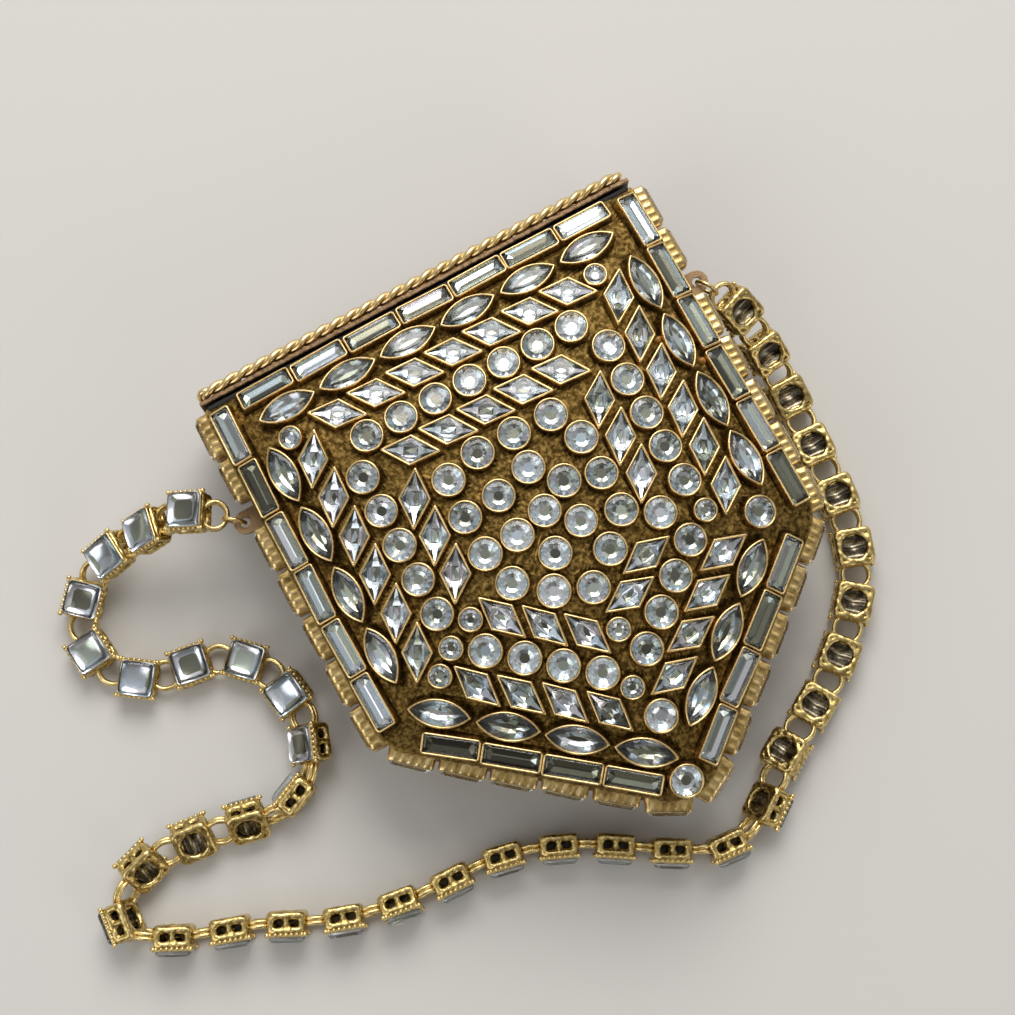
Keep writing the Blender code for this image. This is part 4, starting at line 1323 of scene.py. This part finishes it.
def make_foil():
    """The mirror backing, each facet coloured by its tone with a painted reflection."""
    made, tree, shader = new_material("stone_foil")
    tone = tree.nodes.new("ShaderNodeAttribute")
    tone.attribute_name = "tone"
    # Painted reflection: foil colours from dark olive through grey-green, grey-blue, pale pink and pale
    # blue to white
    stops = (
        (0.0, (0.09, 0.085, 0.06)),
        (0.20, (0.30, 0.30, 0.22)),
        (0.34, (0.50, 0.54, 0.42)),
        (0.46, (0.56, 0.66, 0.74)),
        (0.60, (0.82, 0.76, 0.78)),
        (0.76, (0.80, 0.92, 0.96)),
        (1.0, (1.0, 1.0, 1.0)),
    )
    tree.links.new(ramp_node(tree, tone.outputs["Fac"], stops), shader.inputs["Base Color"])
    shader.inputs["Metallic"].default_value = 1.0
    shader.inputs["Roughness"].default_value = 0.16
    return made


def make_amber():
    made, tree, shader = new_material("amber_resin")
    small = noise_node(tree, 900.0)
    stops = ((0.3, (0.20, 0.07, 0.01)), (0.7, (0.48, 0.22, 0.03)))
    tree.links.new(ramp_node(tree, small, stops), shader.inputs["Base Color"])
    shader.inputs["Roughness"].default_value = 0.12
    shader.inputs["Coat Weight"].default_value = 1.0
    return made


def make_cloth():
    made, tree, shader = new_material("black_lining")
    place = tree.nodes.new("ShaderNodeTexCoord")
    weave = tree.nodes.new("ShaderNodeTexWave")
    weave.inputs["Scale"].default_value = 1400.0
    weave.inputs["Distortion"].default_value = 1.5
    tree.links.new(place.outputs["Object"], weave.inputs["Vector"])
    stops = ((0.2, (0.006, 0.006, 0.007)), (0.8, (0.020, 0.018, 0.018)))
    tree.links.new(ramp_node(tree, weave.outputs["Fac"], stops), shader.inputs["Base Color"])
    shader.inputs["Roughness"].default_value = 0.85
    shader.inputs["Sheen Weight"].default_value = 0.3
    bump_node(tree, shader, weave.outputs["Fac"], 0.0001, 0.4)
    return made


# Each metal: dark, middle and bright tone, roughness, scales of its blotches and its
# fine grain, depth of the grain, and how strongly the painted shade in hollows and the painted highlight
# on edges show
BEZEL_BRASS = metal(
    "bezel_brass", (0.16, 0.095, 0.028), (0.50, 0.33, 0.11), (0.86, 0.64, 0.31),
    0.26, 420, 1200, 0.00003,
)
GROUND = metal(
    "granular_gold", (0.014, 0.008, 0.002), (0.082, 0.048, 0.012), (0.35, 0.225, 0.068),
    0.40, 1100, 2600, 0.00026, 3.0, shaded=True,
)
STRAP_BRASS = metal(
    "cast_brass", (0.10, 0.065, 0.020), (0.50, 0.36, 0.12), (0.85, 0.66, 0.30),
    0.27, 700, 2200, 0.00009, 5.0,
)
DARK_STRIP = metal(
    "dark_strip", (0.018, 0.010, 0.006), (0.075, 0.044, 0.024), (0.30, 0.19, 0.10),
    0.42, 900, 2400, 0.00018, 3.0, 0.9,
)
WALL_BRASS = metal(
    "aged_wall_brass", (0.045, 0.026, 0.008), (0.135, 0.082, 0.024), (0.32, 0.21, 0.07),
    0.40, 320, 2200, 0.00016, 3.0,
)
PLAIN_BRASS = metal(
    "plain_old_brass", (0.22, 0.14, 0.06), (0.40, 0.27, 0.12), (0.58, 0.41, 0.20),
    0.38, 120, 1500, 0.00004,
)
DARK_FOIL = metal(
    "dark_backing", (0.020, 0.016, 0.012), (0.11, 0.09, 0.06), (0.46, 0.39, 0.28),
    0.26, 600, 2400, 0.00006, 4.0, 0.9,
)
GLASS = make_glass()
FOIL = make_foil()
AMBER = make_amber()
BLACK_CLOTH = make_cloth()

KEPT_NODES = {
    "back_panel": PLAIN_BRASS,
    "lug_left": DARK_STRIP,
    "lug_right": DARK_STRIP,
    "hinge_pin": PLAIN_BRASS,
    "mouth_frame": BLACK_CLOTH,
    "front_lining": BLACK_CLOTH,
    "back_lining": BLACK_CLOTH,
    "side_lining": BLACK_CLOTH,
    "lid_lining": BLACK_CLOTH,
}


def dress_kept_nodes():
    for name, finish in KEPT_NODES.items():
        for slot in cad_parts[name].material_slots:
            slot.material = finish


def make_stage():
    """A pale floor that fades into the pale room far from the bag."""
    shape = Shape()
    wide = 3.0
    shape.add([(-wide, -wide, 0), (wide, -wide, 0), (wide, wide, 0), (-wide, wide, 0)], [[0, 1, 2, 3]])
    made, tree, shader = new_material("pale_floor")
    shader.inputs["Base Color"].default_value = (0.66, 0.635, 0.60, 1.0)
    shader.inputs["Roughness"].default_value = 0.9
    place = tree.nodes.new("ShaderNodeTexCoord")
    away = tree.nodes.new("ShaderNodeVectorMath")
    away.operation = "LENGTH"
    tree.links.new(place.outputs["Object"], away.inputs[0])
    fade = tree.nodes.new("ShaderNodeMapRange")
    fade.inputs["From Min"].default_value = 0.5
    fade.inputs["From Max"].default_value = 1.1
    tree.links.new(away.outputs["Value"], fade.inputs["Value"])
    clear = tree.nodes.new("ShaderNodeBsdfTransparent")
    blend = tree.nodes.new("ShaderNodeMixShader")
    tree.links.new(fade.outputs["Result"], blend.inputs[0])
    tree.links.new(shader.outputs[0], blend.inputs[1])
    tree.links.new(clear.outputs[0], blend.inputs[2])
    output = tree.nodes["Material Output"]
    tree.links.new(blend.outputs[0], output.inputs["Surface"])
    floor = linked("floor", shape.mesh("floor", [made]))


def area_light(name, towards, distance, size, power, colour):
    data = bpy.data.lights.new(name, "AREA")
    data.shape = "DISK"
    data.size = size
    data.energy = power
    data.color = colour
    light = linked(name, data)
    direction = Vector(towards).normalized()
    light.location = direction * distance
    light.rotation_euler = direction.to_track_quat("Z", "Y").to_euler()


def make_light():
    world = bpy.data.worlds.new("room")
    bpy.context.scene.world = world
    world.use_nodes = True
    tree = world.node_tree
    output = tree.nodes["World Output"]
    room = tree.nodes["Background"]
    place = tree.nodes.new("ShaderNodeTexCoord")
    facing = tree.nodes.new("ShaderNodeVectorMath")
    facing.operation = "DOT_PRODUCT"
    facing.inputs[1].default_value = Vector((0.36, 0.66, 0.66)).normalized()
    tree.links.new(place.outputs["Generated"], facing.inputs[0])
    level = math_node(tree, "MULTIPLY_ADD", facing.outputs["Value"], 0.5, 0.5)
    stops = (
        (0.0, (0.10, 0.09, 0.075)),
        (0.55, (0.18, 0.17, 0.155)),
        (0.74, (0.34, 0.34, 0.33)),
        (0.88, (0.56, 0.58, 0.60)),
        (1.0, (0.90, 0.92, 0.95)),
    )
    tree.links.new(ramp_node(tree, level, stops), room.inputs["Color"])
    room.inputs["Strength"].default_value = 1.0
    pale = tree.nodes.new("ShaderNodeBackground")
    pale.inputs["Color"].default_value = (0.86, 0.85, 0.83, 1.0)
    path = tree.nodes.new("ShaderNodeLightPath")
    mix = tree.nodes.new("ShaderNodeMixShader")
    tree.links.new(path.outputs["Is Camera Ray"], mix.inputs["Fac"])
    tree.links.new(room.outputs["Background"], mix.inputs[1])
    tree.links.new(pale.outputs["Background"], mix.inputs[2])
    tree.links.new(mix.outputs["Shader"], output.inputs["Surface"])
    area_light("key", (0.36, 0.66, 0.85), 1.1, 0.75, 7.5, (1.0, 0.98, 0.95))
    area_light("fill", (-0.8, -0.1, 0.7), 1.2, 0.8, 2.8, (0.95, 0.97, 1.0))
    area_light("low", (0.3, -0.9, 0.5), 1.2, 0.6, 1.6, (1.0, 0.96, 0.90))


bpy.context.scene.view_settings.view_transform = "Standard"
make_camera()
make_stage()
make_light()
dress_kept_nodes()
make_front()
make_drops()
make_sides()
make_lid()
make_hinge()
make_strap()
